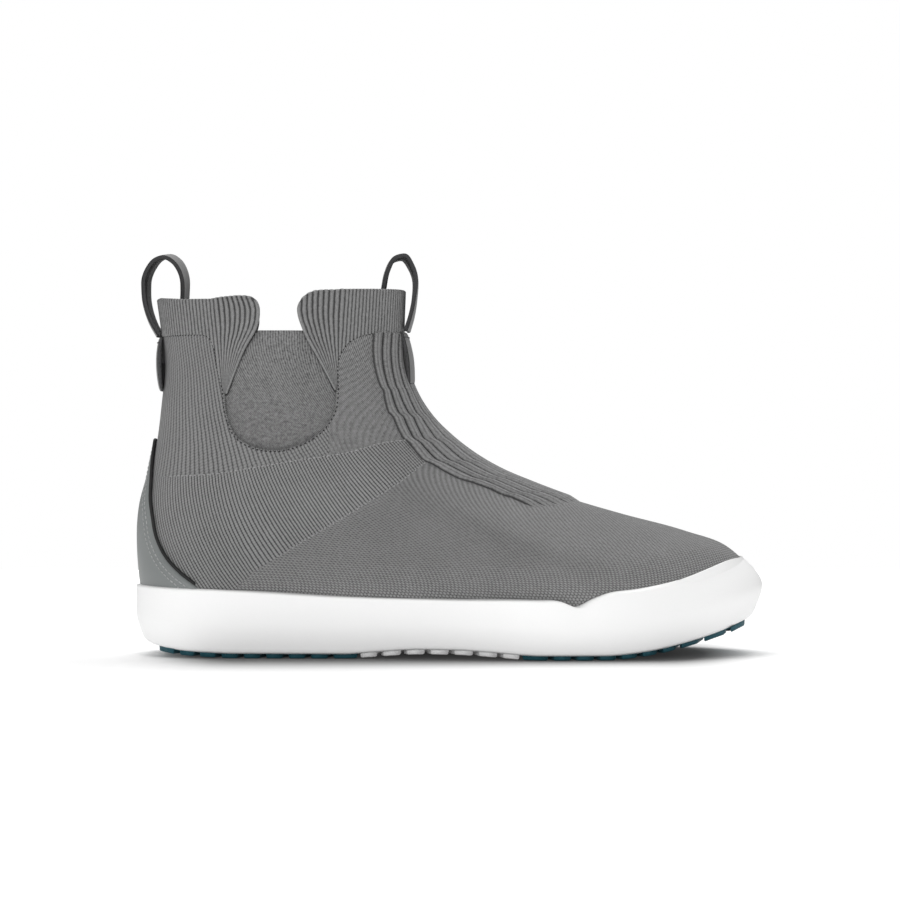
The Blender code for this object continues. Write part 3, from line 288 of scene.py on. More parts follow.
def face_normal(angle, rise):
    """Unit vector that points out of the knit's outer face."""
    low, high = np.clip(rise - SMALL_STEP, 0, 1), np.clip(rise + SMALL_STEP, 0, 1)
    around = face_point(angle + SMALL_STEP, rise) - face_point(angle - SMALL_STEP, rise)
    up = face_point(angle, high) - face_point(angle, low)
    normal = np.cross(around, up)
    return normal / np.linalg.norm(normal, axis=-1, keepdims=True)


def skin(angle, rise, depth):
    """Point that lies depth below the knit's outer face, along the face's normal."""
    angle, rise = np.broadcast_arrays(np.asarray(angle, float), np.asarray(rise, float))
    depth = np.broadcast_to(np.asarray(depth, float), angle.shape)
    return face_point(angle, rise) - face_normal(angle, rise) * depth[..., None]


def sole_edge(angle, inset):
    """Plan point (x, y) of the sole's outline, moved in by inset."""
    def outline(at):
        x = -HALF_LENGTH * np.cos(at)
        folded = np.degrees(np.arccos(np.clip(np.cos(at), -1, 1)))
        return np.stack([x, eased(SOLE_CENTRE, x) + CENTRE_SHIFT
                         - eased(SOLE_WIDTH, folded) * np.sin(at)], axis=-1)

    tangent = outline(angle + SMALL_STEP) - outline(angle - SMALL_STEP)
    tangent /= np.linalg.norm(tangent, axis=-1, keepdims=True)
    inward = np.stack([-tangent[..., 1], tangent[..., 0]], axis=-1)
    return outline(angle) + inward * np.broadcast_to(inset, angle.shape)[..., None]


def rise_at(angle, height):
    """Rise at which the face reaches a height, given as a number, as an array or as a function of x."""
    low, high = np.zeros_like(angle), np.ones_like(angle)
    for _ in range(30):
        middle = (low + high) / 2
        point = face_point(angle, middle)
        below = point[..., 2] < (height(point[..., 0]) if callable(height) else height)
        low, high = np.where(below, middle, low), np.where(below, high, middle)
    return (low + high) / 2


def wall_inset(part, x):
    """How far the sole's wall stands in from its outline, by part of its height (0..1)."""
    below = np.clip(1 - part / WALL_WAIST, 0, 1) ** 1.6
    above = np.clip((part - WALL_WAIST) / (1 - WALL_WAIST), 0, 1) ** 1.8
    return eased(WALL_FOOT_INSET, x) * below + eased(WALL_HEAD_INSET, x) * above


def smooth(value):
    value = np.clip(value, 0, 1)
    return value * value * (3 - 2 * value)


CENTRE_SHIFT = 0.0
_edge = sole_edge(np.radians(np.arange(0, 360, 1.0)), 0.0)
CENTRE_SHIFT = -float(_edge[:, 1].min() + _edge[:, 1].max()) / 2

# Lengths on the skin: from the instep ridge along each loop, and up each station.
TABLE_ANGLES = np.linspace(0, math.pi, 181)
TABLE_RISES = np.linspace(0, 1, 121)
_grid = face_point(TABLE_ANGLES[None, :], TABLE_RISES[:, None] * np.ones((1, 181)))
_around = np.linalg.norm(np.diff(_grid, axis=1), axis=2)
ARC_TABLE = np.concatenate([np.cumsum(_around[:, ::-1], axis=1)[:, ::-1], np.zeros((121, 1))], axis=1)
_upward = np.linalg.norm(np.diff(_grid, axis=0), axis=2)
CLIMB_TABLE = np.concatenate([np.zeros((1, 181)), np.cumsum(_upward, axis=0)])


def from_table(table, angle, rise):
    """Value of a length table at the angle, folded onto 0..180 degrees, and the rise."""
    column = np.arccos(np.clip(np.cos(angle), -1, 1)) / math.pi * (table.shape[1] - 1)
    row = np.clip(rise, 0, 1) * (table.shape[0] - 1)
    left = np.clip(column.astype(int), 0, table.shape[1] - 2)
    low = np.clip(row.astype(int), 0, table.shape[0] - 2)
    u, v = column - left, row - low
    return ((table[low, left] * (1 - u) + table[low, left + 1] * u) * (1 - v)
            + (table[low + 1, left] * (1 - u) + table[low + 1, left + 1] * u) * v)


# ---- Side-view outlines ------------------------------------------------------------------
def seam_outline():
    """Outline of what the knit body leaves free: collar bands and gores."""
    share = np.linspace(0, 1, OUTLINE_STEPS)
    rear, gore, front = (along(line, share) for line in (REAR_SEAM, GORE_CURVE, FRONT_SEAM))
    return np.array([(-170.0, rear[0][1]), *rear, *gore[1:], *front[1:], (10.0, front[-1][1]),
                     (10.0, 200.0), (-170.0, 200.0)])


def moved_aside(line, distance):
    """A side-view line shifted to its left by a distance."""
    line = np.array(line)
    way = np.gradient(line, axis=0)
    way /= np.linalg.norm(way, axis=1, keepdims=True)
    return line + np.column_stack([-way[:, 1], way[:, 0]]) * distance


def distance_to(line, points):
    """Distance of side-view points from an open line."""
    line = np.asarray(line, float)
    best = np.full(len(points), 1e9)
    for start, end in zip(line[:-1], line[1:]):
        way = end - start
        share = np.clip(((points - start) @ way) / max(way @ way, 1e-12), 0, 1)
        best = np.minimum(best, np.linalg.norm(points - start - share[:, None] * way, axis=1))
    return best


def inside(outline, points):
    """Whether side-view points lie inside a closed outline."""
    found = np.zeros(len(points), bool)
    for (x0, z0), (x1, z1) in zip(outline, np.roll(outline, -1, axis=0)):
        crosses = (z0 > points[:, 1]) != (z1 > points[:, 1])
        with np.errstate(divide="ignore", invalid="ignore"):
            at = x0 + (points[:, 1] - z0) * (x1 - x0) / (z1 - z0)
        found ^= crosses & (points[:, 0] < at)
    return found


def trimmed(view, where):
    """Side-view points moved so that the rear flap's outline ends earlier where it is trimmed."""
    past = view[:, 0] - REAR_FOLD[0][0]
    moved = view.copy()
    moved[:, 0] += np.where(where, MEDIAL_TRIM * smooth(past / 14.0 + 0.2), 0.0)
    return moved


def outline_value(outline, points):
    """Signed distance of side-view points from a closed outline, positive inside."""
    closed = np.vstack([outline, outline[:1]])
    return distance_to(closed, points) * np.where(inside(outline, points), 1.0, -1.0)


# ---- Mesh helpers ------------------------------------------------------------------------
def grid_faces(rows, columns, closed=False):
    """Quads between the rows of a grid of points; closed joins the last column to the first."""
    row, column = np.meshgrid(np.arange(rows - 1), np.arange(columns if closed else columns - 1),
                              indexing="ij")
    after = (column + 1) % columns
    corners = [row * columns + column, row * columns + after,
               (row + 1) * columns + after, (row + 1) * columns + column]
    return [tuple(face) for face in np.stack(corners, axis=-1).reshape(-1, 4).tolist()]


def renumbered(faces, start, flip=False):
    """Faces whose corners count from start on, turned over if asked for."""
    return [tuple(start + corner for corner in (face[::-1] if flip else face)) for face in faces]


def divided(points, faces, value):
    """Cuts the faces where value changes sign. Returns points, and the faces above and below zero."""
    value = np.where(np.abs(value) < CUT_SNAP, 0.0, value)
    points = list(points)
    cut_at = {}
    above, below = [], []

    def crossing(a, b):
        key = (min(a, b), max(a, b))
        if key not in cut_at:
            share = value[key[0]] / (value[key[0]] - value[key[1]])
            points.append(points[key[0]] + (points[key[1]] - points[key[0]]) * share)
            cut_at[key] = len(points) - 1
        return cut_at[key]

    for face in faces:
        sides = [value[corner] for corner in face]
        if min(sides) >= 0:
            above.append(face)
        elif max(sides) <= 0:
            below.append(face)
        else:
            parts = ([], [])
            for corner, following in zip(face, (*face[1:], face[0])):
                if value[corner] >= 0:
                    parts[0].append(corner)
                if value[corner] <= 0:
                    parts[1].append(corner)
                if value[corner] * value[following] < 0:
                    for part in parts:
                        part.append(crossing(corner, following))
            for part, kept in zip(parts, (above, below)):
                if len(part) > 2:
                    kept.append(tuple(part))
    return np.array(points), above, below


def compact(points, faces):
    """Drops the points that no face uses."""
    used = np.unique(np.concatenate([np.asarray(face) for face in faces]))
    index = np.full(len(points), -1)
    index[used] = np.arange(len(used))
    return points[used], [tuple(index[list(face)]) for face in faces]


def new_mesh(name, points, faces, materials, slots=None, uvs=None, crease_shade=None):
    """An object from points in millimetres. uvs holds one pair per face corner, in face order."""
    mesh = bpy.data.meshes.new(name)
    mesh.from_pydata((np.asarray(points) * MM).tolist(), [], [list(map(int, face)) for face in faces])
    for look in materials:
        mesh.materials.append(look)
    if slots is not None:
        mesh.polygons.foreach_set("material_index", np.asarray(slots, np.int32))
    if uvs is not None:
        layer = mesh.uv_layers.new(name="weave")
        layer.data.foreach_set("uv", np.asarray(uvs, np.float32).ravel())
    # a point attribute of painted shade, darkening grooves and crevices in the knit
    if crease_shade is not None:
        attribute = mesh.attributes.new("crease_shade", "FLOAT", "POINT")
        attribute.data.foreach_set("value", np.asarray(crease_shade, np.float32))
    mesh.shade_smooth()
    mesh.update()
    made = bpy.data.objects.new(name, mesh)
    bpy.context.scene.collection.objects.link(made)
    return made


def placed(piece, body, slot, *nodes):
    """Lets a piece ride on a body and hides the nodes that it stands for; the slot is not used."""
    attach(piece, body)
    if nodes:
        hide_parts(*nodes)


def border(faces):
    """Directed edges that only one face uses."""
    edges = dict.fromkeys((corner, following) for face in faces
                          for corner, following in zip(face, (*face[1:], face[0])))
    return [edge for edge in edges if (edge[1], edge[0]) not in edges]


def with_thickness(outer, inner, faces, roll=0.35, closed=True):
    """Joins an outer sheet to its inner copy by a rounded edge. Returns points and faces,
    and for each point the index of the sheet point it came from."""
    count = len(outer)
    edges = border(faces)
    rim = sorted({corner for edge in edges for corner in edge})
    place = {corner: i for i, corner in enumerate(rim)}
    way = np.zeros((len(rim), 3))
    for a, b in edges:
        outward = np.cross(outer[b] - outer[a], outer[a] - inner[a])
        outward /= max(np.linalg.norm(outward), 1e-9)
        way[place[a]] += outward
        way[place[b]] += outward
    way /= np.maximum(np.linalg.norm(way, axis=1, keepdims=True), 1e-9)
    swell = way * np.linalg.norm(outer[rim] - inner[rim], axis=1, keepdims=True) * roll
    rings = [outer[rim] * (1 - share) + inner[rim] * share + swell * size
             for share, size in ((0.2, 0.7), (0.5, 1.0), (0.8, 0.7))]
    points = [outer, *rings]
    source = [np.arange(count), rim, rim, rim]
    made = list(faces)
    levels = [np.array(rim), *(count + k * len(rim) + np.arange(len(rim)) for k in range(3))]
    if closed:
        base = count + 3 * len(rim)
        points.append(inner)
        source.append(np.arange(count))
        made += renumbered(faces, base, flip=True)
        levels.append(base + np.array(rim))
    for low, high in zip(levels[:-1], levels[1:]):
        made += [(low[place[b]], low[place[a]], high[place[a]], high[place[b]]) for a, b in edges]
    return np.concatenate(points), made, np.concatenate(source).astype(int)


def corner_uvs(uv, faces, source=None):
    """One pair per face corner, from pairs per point; source names the point behind each point."""
    corners = np.concatenate([np.asarray(face) for face in faces])
    return uv[corners if source is None else source[corners]]


def tube(name, points, radius, material, up):
    """A round cord along points, with rounded ends."""
    way = np.gradient(points, axis=0)
    way /= np.linalg.norm(way, axis=1, keepdims=True)
    side = np.cross(way, np.array(up, float))
    side /= np.linalg.norm(side, axis=1, keepdims=True)
    over = np.cross(side, way)
    turns = np.linspace(0, 2 * math.pi, TUBE_SIDES, endpoint=False)[:, None]
    sizes = np.ones(len(points))
    sizes[0] = sizes[-1] = 0.55
    rings = [point + radius * size * (np.cos(turns) * a + np.sin(turns) * b)
             for point, size, a, b in zip(points, sizes, side, over)]
    faces = grid_faces(len(points), TUBE_SIDES, closed=True)
    end = range(TUBE_SIDES)
    faces += [tuple(end)[::-1], tuple((len(points) - 1) * TUBE_SIDES + i for i in end)]
    return new_mesh(name, np.concatenate(rings), faces, [material])


def stitches(name, points, ways, lifts, length, radius, material):
    """One mesh of short threads: flattened capsules centred on the points, lying along the ways."""
    turns = np.linspace(0, 2 * math.pi, STITCH_SIDES, endpoint=False)
    shape = grid_faces(len(STITCH_PROFILE), STITCH_SIDES, closed=True)
    end = range(STITCH_SIDES)
    shape += [tuple(end)[::-1], tuple((len(STITCH_PROFILE) - 1) * STITCH_SIDES + i for i in end)]
    verts, faces = [], []
    for point, way, lift in zip(points, ways, lifts):
        way = way / np.linalg.norm(way)
        side = np.cross(lift, way)
        side /= np.linalg.norm(side)
        lift = np.cross(way, side)
        faces += renumbered(shape, len(verts))
        verts += [point + way * at * length
                  + radius * size * (math.cos(turn) * side + STITCH_FLATNESS * math.sin(turn) * lift)
                  for at, size in STITCH_PROFILE for turn in turns]
    return new_mesh(name, np.array(verts), faces, [material])


def by_length(points, pitch):
    """Points at an even pitch along a polyline, with their directions."""
    steps = np.linalg.norm(np.diff(points, axis=0), axis=1)
    length = np.concatenate([[0], np.cumsum(steps)])
    at = np.arange(pitch / 2, length[-1], pitch)

    def read(places):
        return np.stack([np.interp(places, length, column) for column in points.T], axis=-1)

    return read(at), read(at + 0.3) - read(at - 0.3)


# ---- Materials ---------------------------------------------------------------------------
class Look:
    """A small builder for a material's nodes."""

    def __init__(self, name, roughness, metallic=0.0, sheen=0.0, specular=0.5):
        self.material = bpy.data.materials.new(name)
        self.material.use_nodes = True
        self.tree = self.material.node_tree
        self.shader = self.tree.nodes["Principled BSDF"]
        self.shader.inputs["Roughness"].default_value = roughness
        self.shader.inputs["Metallic"].default_value = metallic
        self.shader.inputs["Sheen Weight"].default_value = sheen
        self.shader.inputs["Specular IOR Level"].default_value = specular

    def node(self, kind, **settings):
        made = self.tree.nodes.new(kind)
        for key, value in settings.items():
            setattr(made, key, value)
        return made

    def join(self, source, target):
        self.tree.links.new(source, target)

    def math(self, operation, first, second=0.0):
        made = self.node("ShaderNodeMath", operation=operation)
        for socket, value in zip(made.inputs, (first, second)):
            if isinstance(value, (int, float)):
                socket.default_value = value
            else:
                self.join(value, socket)
        return made.outputs[0]

    def add(self, first, second):
        return self.math("ADD", first, second)

    def less(self, first, second):
        return self.math("SUBTRACT", first, second)

    def times(self, first, second):
        return self.math("MULTIPLY", first, second)

    def weave(self):
        """The piece's own lattice coordinates: wales across and stitches along."""
        made = self.node("ShaderNodeUVMap", uv_map="weave")
        parts = self.node("ShaderNodeSeparateXYZ")
        self.join(made.outputs[0], parts.inputs[0])
        return parts.outputs[0], parts.outputs[1]

    def noise(self, scale, detail, rough, stretch=(1, 1, 1)):
        place = self.node("ShaderNodeTexCoord")
        fit = self.node("ShaderNodeMapping")
        fit.inputs["Scale"].default_value = stretch
        made = self.node("ShaderNodeTexNoise")
        made.inputs["Scale"].default_value = scale
        made.inputs["Detail"].default_value = detail
        made.inputs["Roughness"].default_value = rough
        self.join(place.outputs["Object"], fit.inputs["Vector"])
        self.join(fit.outputs[0], made.inputs["Vector"])
        return made.outputs["Fac"]

    def ramp(self, value, stops):
        made = self.node("ShaderNodeValToRGB")
        elements = made.color_ramp.elements
        while len(elements) < len(stops):
            elements.new(0.5)
        for element, (at, colour) in zip(elements, stops):
            element.position = at
            element.color = (*colour, 1)
        self.join(value, made.inputs[0])
        return made.outputs["Color"]

    def attribute(self, name):
        return self.node("ShaderNodeAttribute", attribute_name=name).outputs["Fac"]

    def colour(self, source):
        self.join(source, self.shader.inputs["Base Color"])

    def rough(self, value, low, high):
        fit = self.node("ShaderNodeMapRange")
        fit.inputs["To Min"].default_value = low
        fit.inputs["To Max"].default_value = high
        self.join(value, fit.inputs["Value"])
        self.join(fit.outputs[0], self.shader.inputs["Roughness"])

    def bump(self, height, distance, strength):
        made = self.node("ShaderNodeBump")
        made.inputs["Distance"].default_value = distance
        made.inputs["Strength"].default_value = strength
        self.join(height, made.inputs["Height"])
        self.join(made.outputs[0], self.shader.inputs["Normal"])


def shade(colour, factor):
    """The colour made lighter or darker by a factor."""
    return tuple(part * factor for part in colour)


def knit(name, colour, rib=0.6, bead=0.5, slant=0.25, narrow=2.0, dark=0.3, light=1.5, contrast=0.9,
         relief=0.00045, fuzz=0.35, wander=0.3, crease_shade=False):
    """Knitted cloth: wales with stitches in each, shifted by half a stitch from one to the next."""
    look = Look(name, 0.92, sheen=0.1, specular=0.15)
    add, less, times = look.add, look.less, look.times
    across, lengthwise = look.weave()
    yarn = look.noise(900.0, 3.0, 0.65)
    drift = look.noise(330.0, 2.0, 0.5)
    cloud = look.noise(34.0, 3.0, 0.55)
    across = add(across, times(less(drift, 0.5), wander))
    lengthwise = add(lengthwise, times(less(yarn, 0.5), wander))
    wale = look.math("FLOOR", across)
    x = less(look.math("FRACT", across), 0.5)
    ridge = less(1.0, look.math("POWER", look.math("ABSOLUTE", times(x, 2.0)), narrow))
    y = look.math("FRACT", add(add(lengthwise, times(wale, 0.5)), times(x, slant)))
    y = look.math("ABSOLUTE", times(less(y, 0.5), 2.0))
    loop = less(1.0, look.math("POWER", y, LOOP_POWER))
    height = add(times(ridge, rib), times(loop, bead))
    mean = rib * narrow / (narrow + 1) + bead * LOOP_MEAN
    spread = times(less(height, mean), contrast / (rib + bead))
    relieved = add(times(ridge, rib), times(loop, bead * 0.35))
    relieved = add(relieved, times(less(yarn, 0.5), fuzz))
    tone = add(spread, times(less(yarn, 0.5), fuzz * 1.6))
    tone = add(tone, times(less(cloud, 0.5), 0.2))
    tone = add(tone, 0.5)
    # painted shade: a point attribute darkens the tone in grooves and beside flap edges
    if crease_shade:
        tone = less(tone, look.attribute("crease_shade"))
    look.colour(look.ramp(tone, [(0.0, shade(colour, dark)), (0.5, colour), (1.0, shade(colour, light))]))
    look.rough(relieved, 0.98, 0.86)
    look.bump(relieved, relief, 0.85)
    return look.material


def smooth_coat(name, low, high, roughness, grain=0.00006, scale=900.0, spread=0.1, specular=0.45,
                sheen=0.0, metallic=0.0):
    """A smooth skin, such as rubber, coated cloth or trim, with grain and slight clouding."""
    look = Look(name, roughness, sheen=sheen, specular=specular, metallic=metallic)
    fine = look.noise(scale, 4.0, 0.6)
    cloud = look.noise(30.0, 3.0, 0.5)
    tone = look.add(look.times(fine, 0.45), look.times(cloud, 0.55))
    look.colour(look.ramp(tone, [(0.3, low), (0.7, high)]))
    look.rough(fine, roughness - spread, roughness + spread)
    look.bump(fine, grain, 0.6)
    return look.material


def thread(name, colour):
    """Twisted sewing thread."""
    look = Look(name, 0.7, sheen=0.1, specular=0.3)
    twist = look.noise(1600.0, 2.0, 0.5, (1, 1, 3))
    look.colour(look.ramp(twist, [(0.3, shade(colour, 0.55)), (0.7, shade(colour, 1.25))]))
    look.bump(twist, 0.00012, 0.7)
    return look.material


GREY = (0.191, 0.191, 0.191)
KNIT_WALE = knit("knit_wale", shade(GREY, 1.02), rib=0.85, bead=0.36, slant=0.9, narrow=2.4, contrast=1.0,
                 wander=0.3)
KNIT_RIB = knit("knit_rib", shade(GREY, 1.05), rib=1.0, bead=0.3, slant=0.4, narrow=3.4, dark=0.12, light=1.6,
                contrast=1.15, fuzz=0.3, wander=0.22)
KNIT_PIQUE = knit("knit_pique", shade(GREY, 1.13), rib=0.5, bead=0.75, slant=0.0, narrow=1.8, contrast=1.15,
                  wander=0.22)
KNIT_PLAIN = knit("knit_plain", shade(GREY, 1.13), rib=0.7, bead=0.3, slant=0.6, narrow=2.0, contrast=0.9,
                  fuzz=0.7,
                  wander=0.6, relief=0.00035)
KNIT_RIDGE = knit("knit_ridge", shade(GREY, 1.10), rib=0.5, bead=0.2, slant=0.5, narrow=1.8, contrast=0.6,
                  fuzz=0.6, relief=0.0003, crease_shade=True)
KNIT_BAND = knit("knit_band", shade(GREY, 1.06), rib=0.9, bead=0.2, slant=0.4, narrow=2.6, contrast=0.9,
                 fuzz=0.6, relief=0.00035, crease_shade=True)
KNIT_GORE = knit("knit_gore", shade(GREY, 1.0), rib=0.8, bead=0.15, slant=0.5, narrow=2.0, contrast=0.7,
                 relief=0.0003, fuzz=1.0, wander=0.8, crease_shade=True)
LINING = knit("lining_knit", (0.040, 0.040, 0.043), rib=0.4, bead=0.4, slant=0.5, dark=0.5, light=1.5,
              relief=0.0002)
FOOTBED_COVER = knit("footbed_cover", (0.060, 0.061, 0.064), rib=0.4, bead=0.6, slant=0.2, dark=0.45,
                     light=1.6, relief=0.0003)
STITCH_LIGHT = thread("thread_light", (0.34, 0.34, 0.34))
STITCH_GREY = thread("thread_grey", (0.42, 0.425, 0.425))
STITCH_DARK = thread("thread_dark", (0.018, 0.018, 0.018))
COATED = smooth_coat("coated_panel", (0.192, 0.204, 0.202), (0.215, 0.228, 0.226), 0.42, grain=0.00004,
                     scale=1400.0, spread=0.07)
BLACK_TRIM = smooth_coat("black_trim", (0.007, 0.007, 0.007), (0.017, 0.017, 0.017), 0.7, scale=1500.0)
STRAP_FACE = smooth_coat("strap_face", (0.150, 0.150, 0.150), (0.200, 0.200, 0.200), 0.62, grain=0.0001,
                         scale=1500.0, sheen=0.1)
STRAP_BACK = smooth_coat("strap_back", (0.030, 0.030, 0.031), (0.062, 0.062, 0.064), 0.8, grain=0.0002,
                         scale=1100.0, sheen=0.1)
STRAP_EDGE = smooth_coat("strap_edge", (0.010, 0.010, 0.010), (0.034, 0.034, 0.034), 0.85, grain=0.0002,
                         scale=1700.0)
WHITE_RUBBER = smooth_coat("white_rubber", (0.945, 0.945, 0.943), (0.975, 0.975, 0.973), 0.46, grain=0.00003,
                           scale=1200.0, spread=0.08, specular=0.4)
TEAL_RUBBER = smooth_coat("teal_rubber", (0.009, 0.060, 0.080), (0.016, 0.092, 0.120), 0.58, grain=0.00008,
                          scale=1100.0)

# ---- Shared grids ------------------------------------------------------------------------
def round_angles(rear, fore, limit=180.0):
    """Angles all the way round, with so many steps behind and ahead of the 95 degree station."""
    half = np.concatenate([np.linspace(0, 95, rear, endpoint=False), np.linspace(95, limit, fore + 1)])
    return np.radians(np.concatenate([half, 360 - half[-2:0:-1], [360]]))


def packed(angle, rise, *more):
    """Grid parameters as rows: the angle is kept as cosine and sine, so that cuts may cross 0."""
    angle, rise = np.broadcast_arrays(angle, rise)
    return np.column_stack([np.cos(angle).ravel(), np.sin(angle).ravel(), rise.ravel(),
                            *(np.broadcast_to(extra, angle.shape).ravel() for extra in more)])


def unpacked(rows):
    """Angle and rise of packed rows."""
    return np.mod(np.arctan2(rows[:, 1], rows[:, 0]), 2 * math.pi), rows[:, 2]


def side_view(rows):
    """Side-view points (x, z) of packed rows."""
    return face_point(*unpacked(rows))[:, [0, 2]]


def lengths_on_skin(angle, rise):
    """Length from the instep ridge along the loop, and length up from the sole."""
    return from_table(ARC_TABLE, angle, rise), from_table(CLIMB_TABLE, angle, rise)


def unrolled(angle, rise):
    """Position along the boot's side, carried on along the skin where it turns away."""
    side = np.full_like(angle, math.pi / 2)
    return (face_point(side, rise)[..., 0] + from_table(ARC_TABLE, side, rise)
            - from_table(ARC_TABLE, angle, rise))


def capped(points, faces, start, count, across, lift=None, flip=False):
    """Closes a symmetric loop (heel first, toe at its middle) with a grid between its two sides."""
    half = count // 2
    points = list(points)
    rows = []
    for i in range(1, half):
        near, far = np.array(points[start + i]), np.array(points[start + count - i])
        row = [start + i]
        for share in np.arange(1, across) / across:
            point = near + (far - near) * share
            if lift is not None:
                point[2] += lift(2 * share - 1)
            points.append(point)
            row.append(len(points) - 1)
        rows.append([*row, start + count - i])
    made = [(low[j], high[j], high[j + 1], low[j + 1])
            for low, high in zip(rows[:-1], rows[1:]) for j in range(across)]
    made += [(start, rows[0][j], rows[0][j + 1]) for j in range(across)]
    made += [(start + half, rows[-1][j + 1], rows[-1][j]) for j in range(across)]
    return np.array(points), list(faces) + renumbered(made, 0, flip)


# ---- Knit body ---------------------------------------------------------------------------
def groove_places(rise):
    """Distances of the grooves from the ridge line, outermost first, with their steps forwards."""
    rises = [row_rise for row_rise, _ in GROOVES][::-1]
    places = np.stack([np.interp(rise, rises, column[::-1]) for column in zip(*(row for _, row in GROOVES))],
                      axis=-1)
    part = np.mod((JOG_TOP - rise) / JOG_PITCH, 1.0)
    jog = np.minimum(part / JOG_RUN, (1 - part) / (1 - JOG_RUN)) - 0.5
    jog *= JOG_WIDTH * smooth((JOG_TOP - rise) / 0.008)
    return places + jog[..., None] * np.clip(places / 16.0, 0, 1)


def ridge_state(angle, rise):
    """For each place: the ridge's number, the part of it that lies between its outer groove and
    the place, the distance inside the ridges' edge, and the distance to the nearest groove."""
    arc = from_table(ARC_TABLE, angle, rise)
    places = groove_places(rise)
    edges = np.concatenate([places, np.zeros_like(places[..., :1])], axis=-1)
    last = places.shape[-1] - 1
    number = np.clip((arc[..., None] < places).sum(axis=-1) - 1, 0, last)
    high = np.take_along_axis(edges, number[..., None], -1)[..., 0]
    low = np.take_along_axis(edges, number[..., None] + 1, -1)[..., 0]
    part = (high - arc) / np.maximum(high - low, 0.5)
    part = np.where(number == last, part / 2, part)
    value = np.minimum(places[..., 0] - arc, (rise - RIDGE_END) * 210)
    nearest = np.abs(arc[..., None] - places).min(axis=-1)
    return number, np.clip(part, 0, 1), value, nearest


def ridge_lift(angle, rise):
    """Height of the ridges over the knit's face, and the painted shade in their grooves."""
    _, part, value, nearest = ridge_state(angle, rise)
    fade = smooth((rise - RIDGE_END + 0.004) / 0.03)
    crown = RIDGE_HEIGHT * (1 - np.abs(2 * part - 1) ** 2.5) - 0.35 * np.exp(-(nearest / 0.7) ** 2)
    outside = -0.3 * np.exp(-(value / 0.9) ** 2)
    # painted shade along the grooves between the ridges
    crease_shade = np.exp(-(nearest / 0.6) ** 2) * fade * np.where(value > -1.5, 1.0, 0.0)
    return np.where(value > 0, crown, outside) * fade, crease_shade


def rib_family(angle, rise):
    """Slanted ribs between the seams: each starts on the upper seam and bends forwards below it."""
    place = unrolled(angle, rise)
    height = face_point(angle, rise)[..., 2]
    depth = np.interp(place, *zip(*UPPER_ZONE_SEAM)) - height
    start = place.copy()
    for _ in range(25):
        lean, bend = np.interp(start, *zip(*RIB_LEAN)), np.interp(start, *zip(*RIB_BEND))
        start = start * 0.5 + 0.5 * (place - lean * depth - bend * depth * np.abs(depth))
    return start / 1.45, depth / 1.1


def turned(first, second, degrees, pitch):
    """Lattice coordinates at a slant to two lengths on the skin."""
    cosine, sine = math.cos(math.radians(degrees)), math.sin(math.radians(degrees))
    return (first * cosine + second * sine) / pitch, (second * cosine - first * sine) / pitch


def above_line(rows, line):
    """Height of packed rows over a side-view line."""
    view = side_view(rows)
    return view[:, 1] - np.interp(view[:, 0], *zip(*line))


def knit_body():
    """The knit from the sole's rim to the collar seam, cut into its zones along the seams."""
    behind, ahead, levels = BODY_GRID
    angles = round_angles(behind, ahead)
    low = rise_at(angles, lambda x: eased(WALL_LINE, x))[None, :] * BODY_FOOT
    share = np.linspace(0, 1, levels)[:, None]
    rows = packed(angles[None, :], low + (1 - low) * share)
    faces = grid_faces(levels, len(angles))
    rows, _, faces = divided(rows, faces, outline_value(seam_outline(), side_view(rows)))
    rows, faces = compact(rows, faces)
    rows, ridges, rest = divided(rows, faces, ridge_state(*unpacked(rows))[2])
    rows, top, lower = divided(rows, rest, above_line(rows, UPPER_ZONE_SEAM))
    rows, front, rear = divided(rows, top, side_view(rows)[:, 0] - FRONT_ZONE_X)
    rows, middle, fore = divided(rows, lower, above_line(rows, LOWER_ZONE_SEAM))
    zones = [rear, middle, fore, front, ridges]
    faces = [face for zone in zones for face in zone]
    slots = [slot for slot, zone in enumerate(zones) for _ in zone]
    angle, rise = unpacked(rows)
    arc, climb = lengths_on_skin(angle, rise)
    height = face_point(angle, rise)[:, 2]
    number, part, _, _ = ridge_state(angle, rise)
    maps = [(from_table(ARC_TABLE, angle, np.full_like(angle, 0.7)) / RIB_PITCH, height / 1.35),
            rib_family(angle, rise),
            turned(arc, climb, -25, 1.5),
            turned(arc, climb, -30, 1.45),
            (3 * (number + part), climb / 1.1)]
    lift, crease_shade = ridge_lift(angle, rise)
    points, made, source = with_thickness(skin(angle, rise, -lift), skin(angle, rise, BODY_THICKNESS),
                                          faces, roll=0.25, closed=False)
    slots += [zones.index(front)] * (len(made) - len(faces))
    slot_of_corner = np.repeat(slots, [len(face) for face in made])
    uvs = np.choose(slot_of_corner[:, None],
                    [corner_uvs(np.column_stack(each), made, source) for each in maps])
    looks = [KNIT_WALE, KNIT_RIB, KNIT_PIQUE, KNIT_PLAIN, KNIT_RIDGE]
    # the grooves between the ridges carry painted shade
    body = new_mesh("knit_body", points, made, looks, slots, uvs, crease_shade[source] * 0.95)
    placed(body, "boot", "grey_knit", "knit_upper")


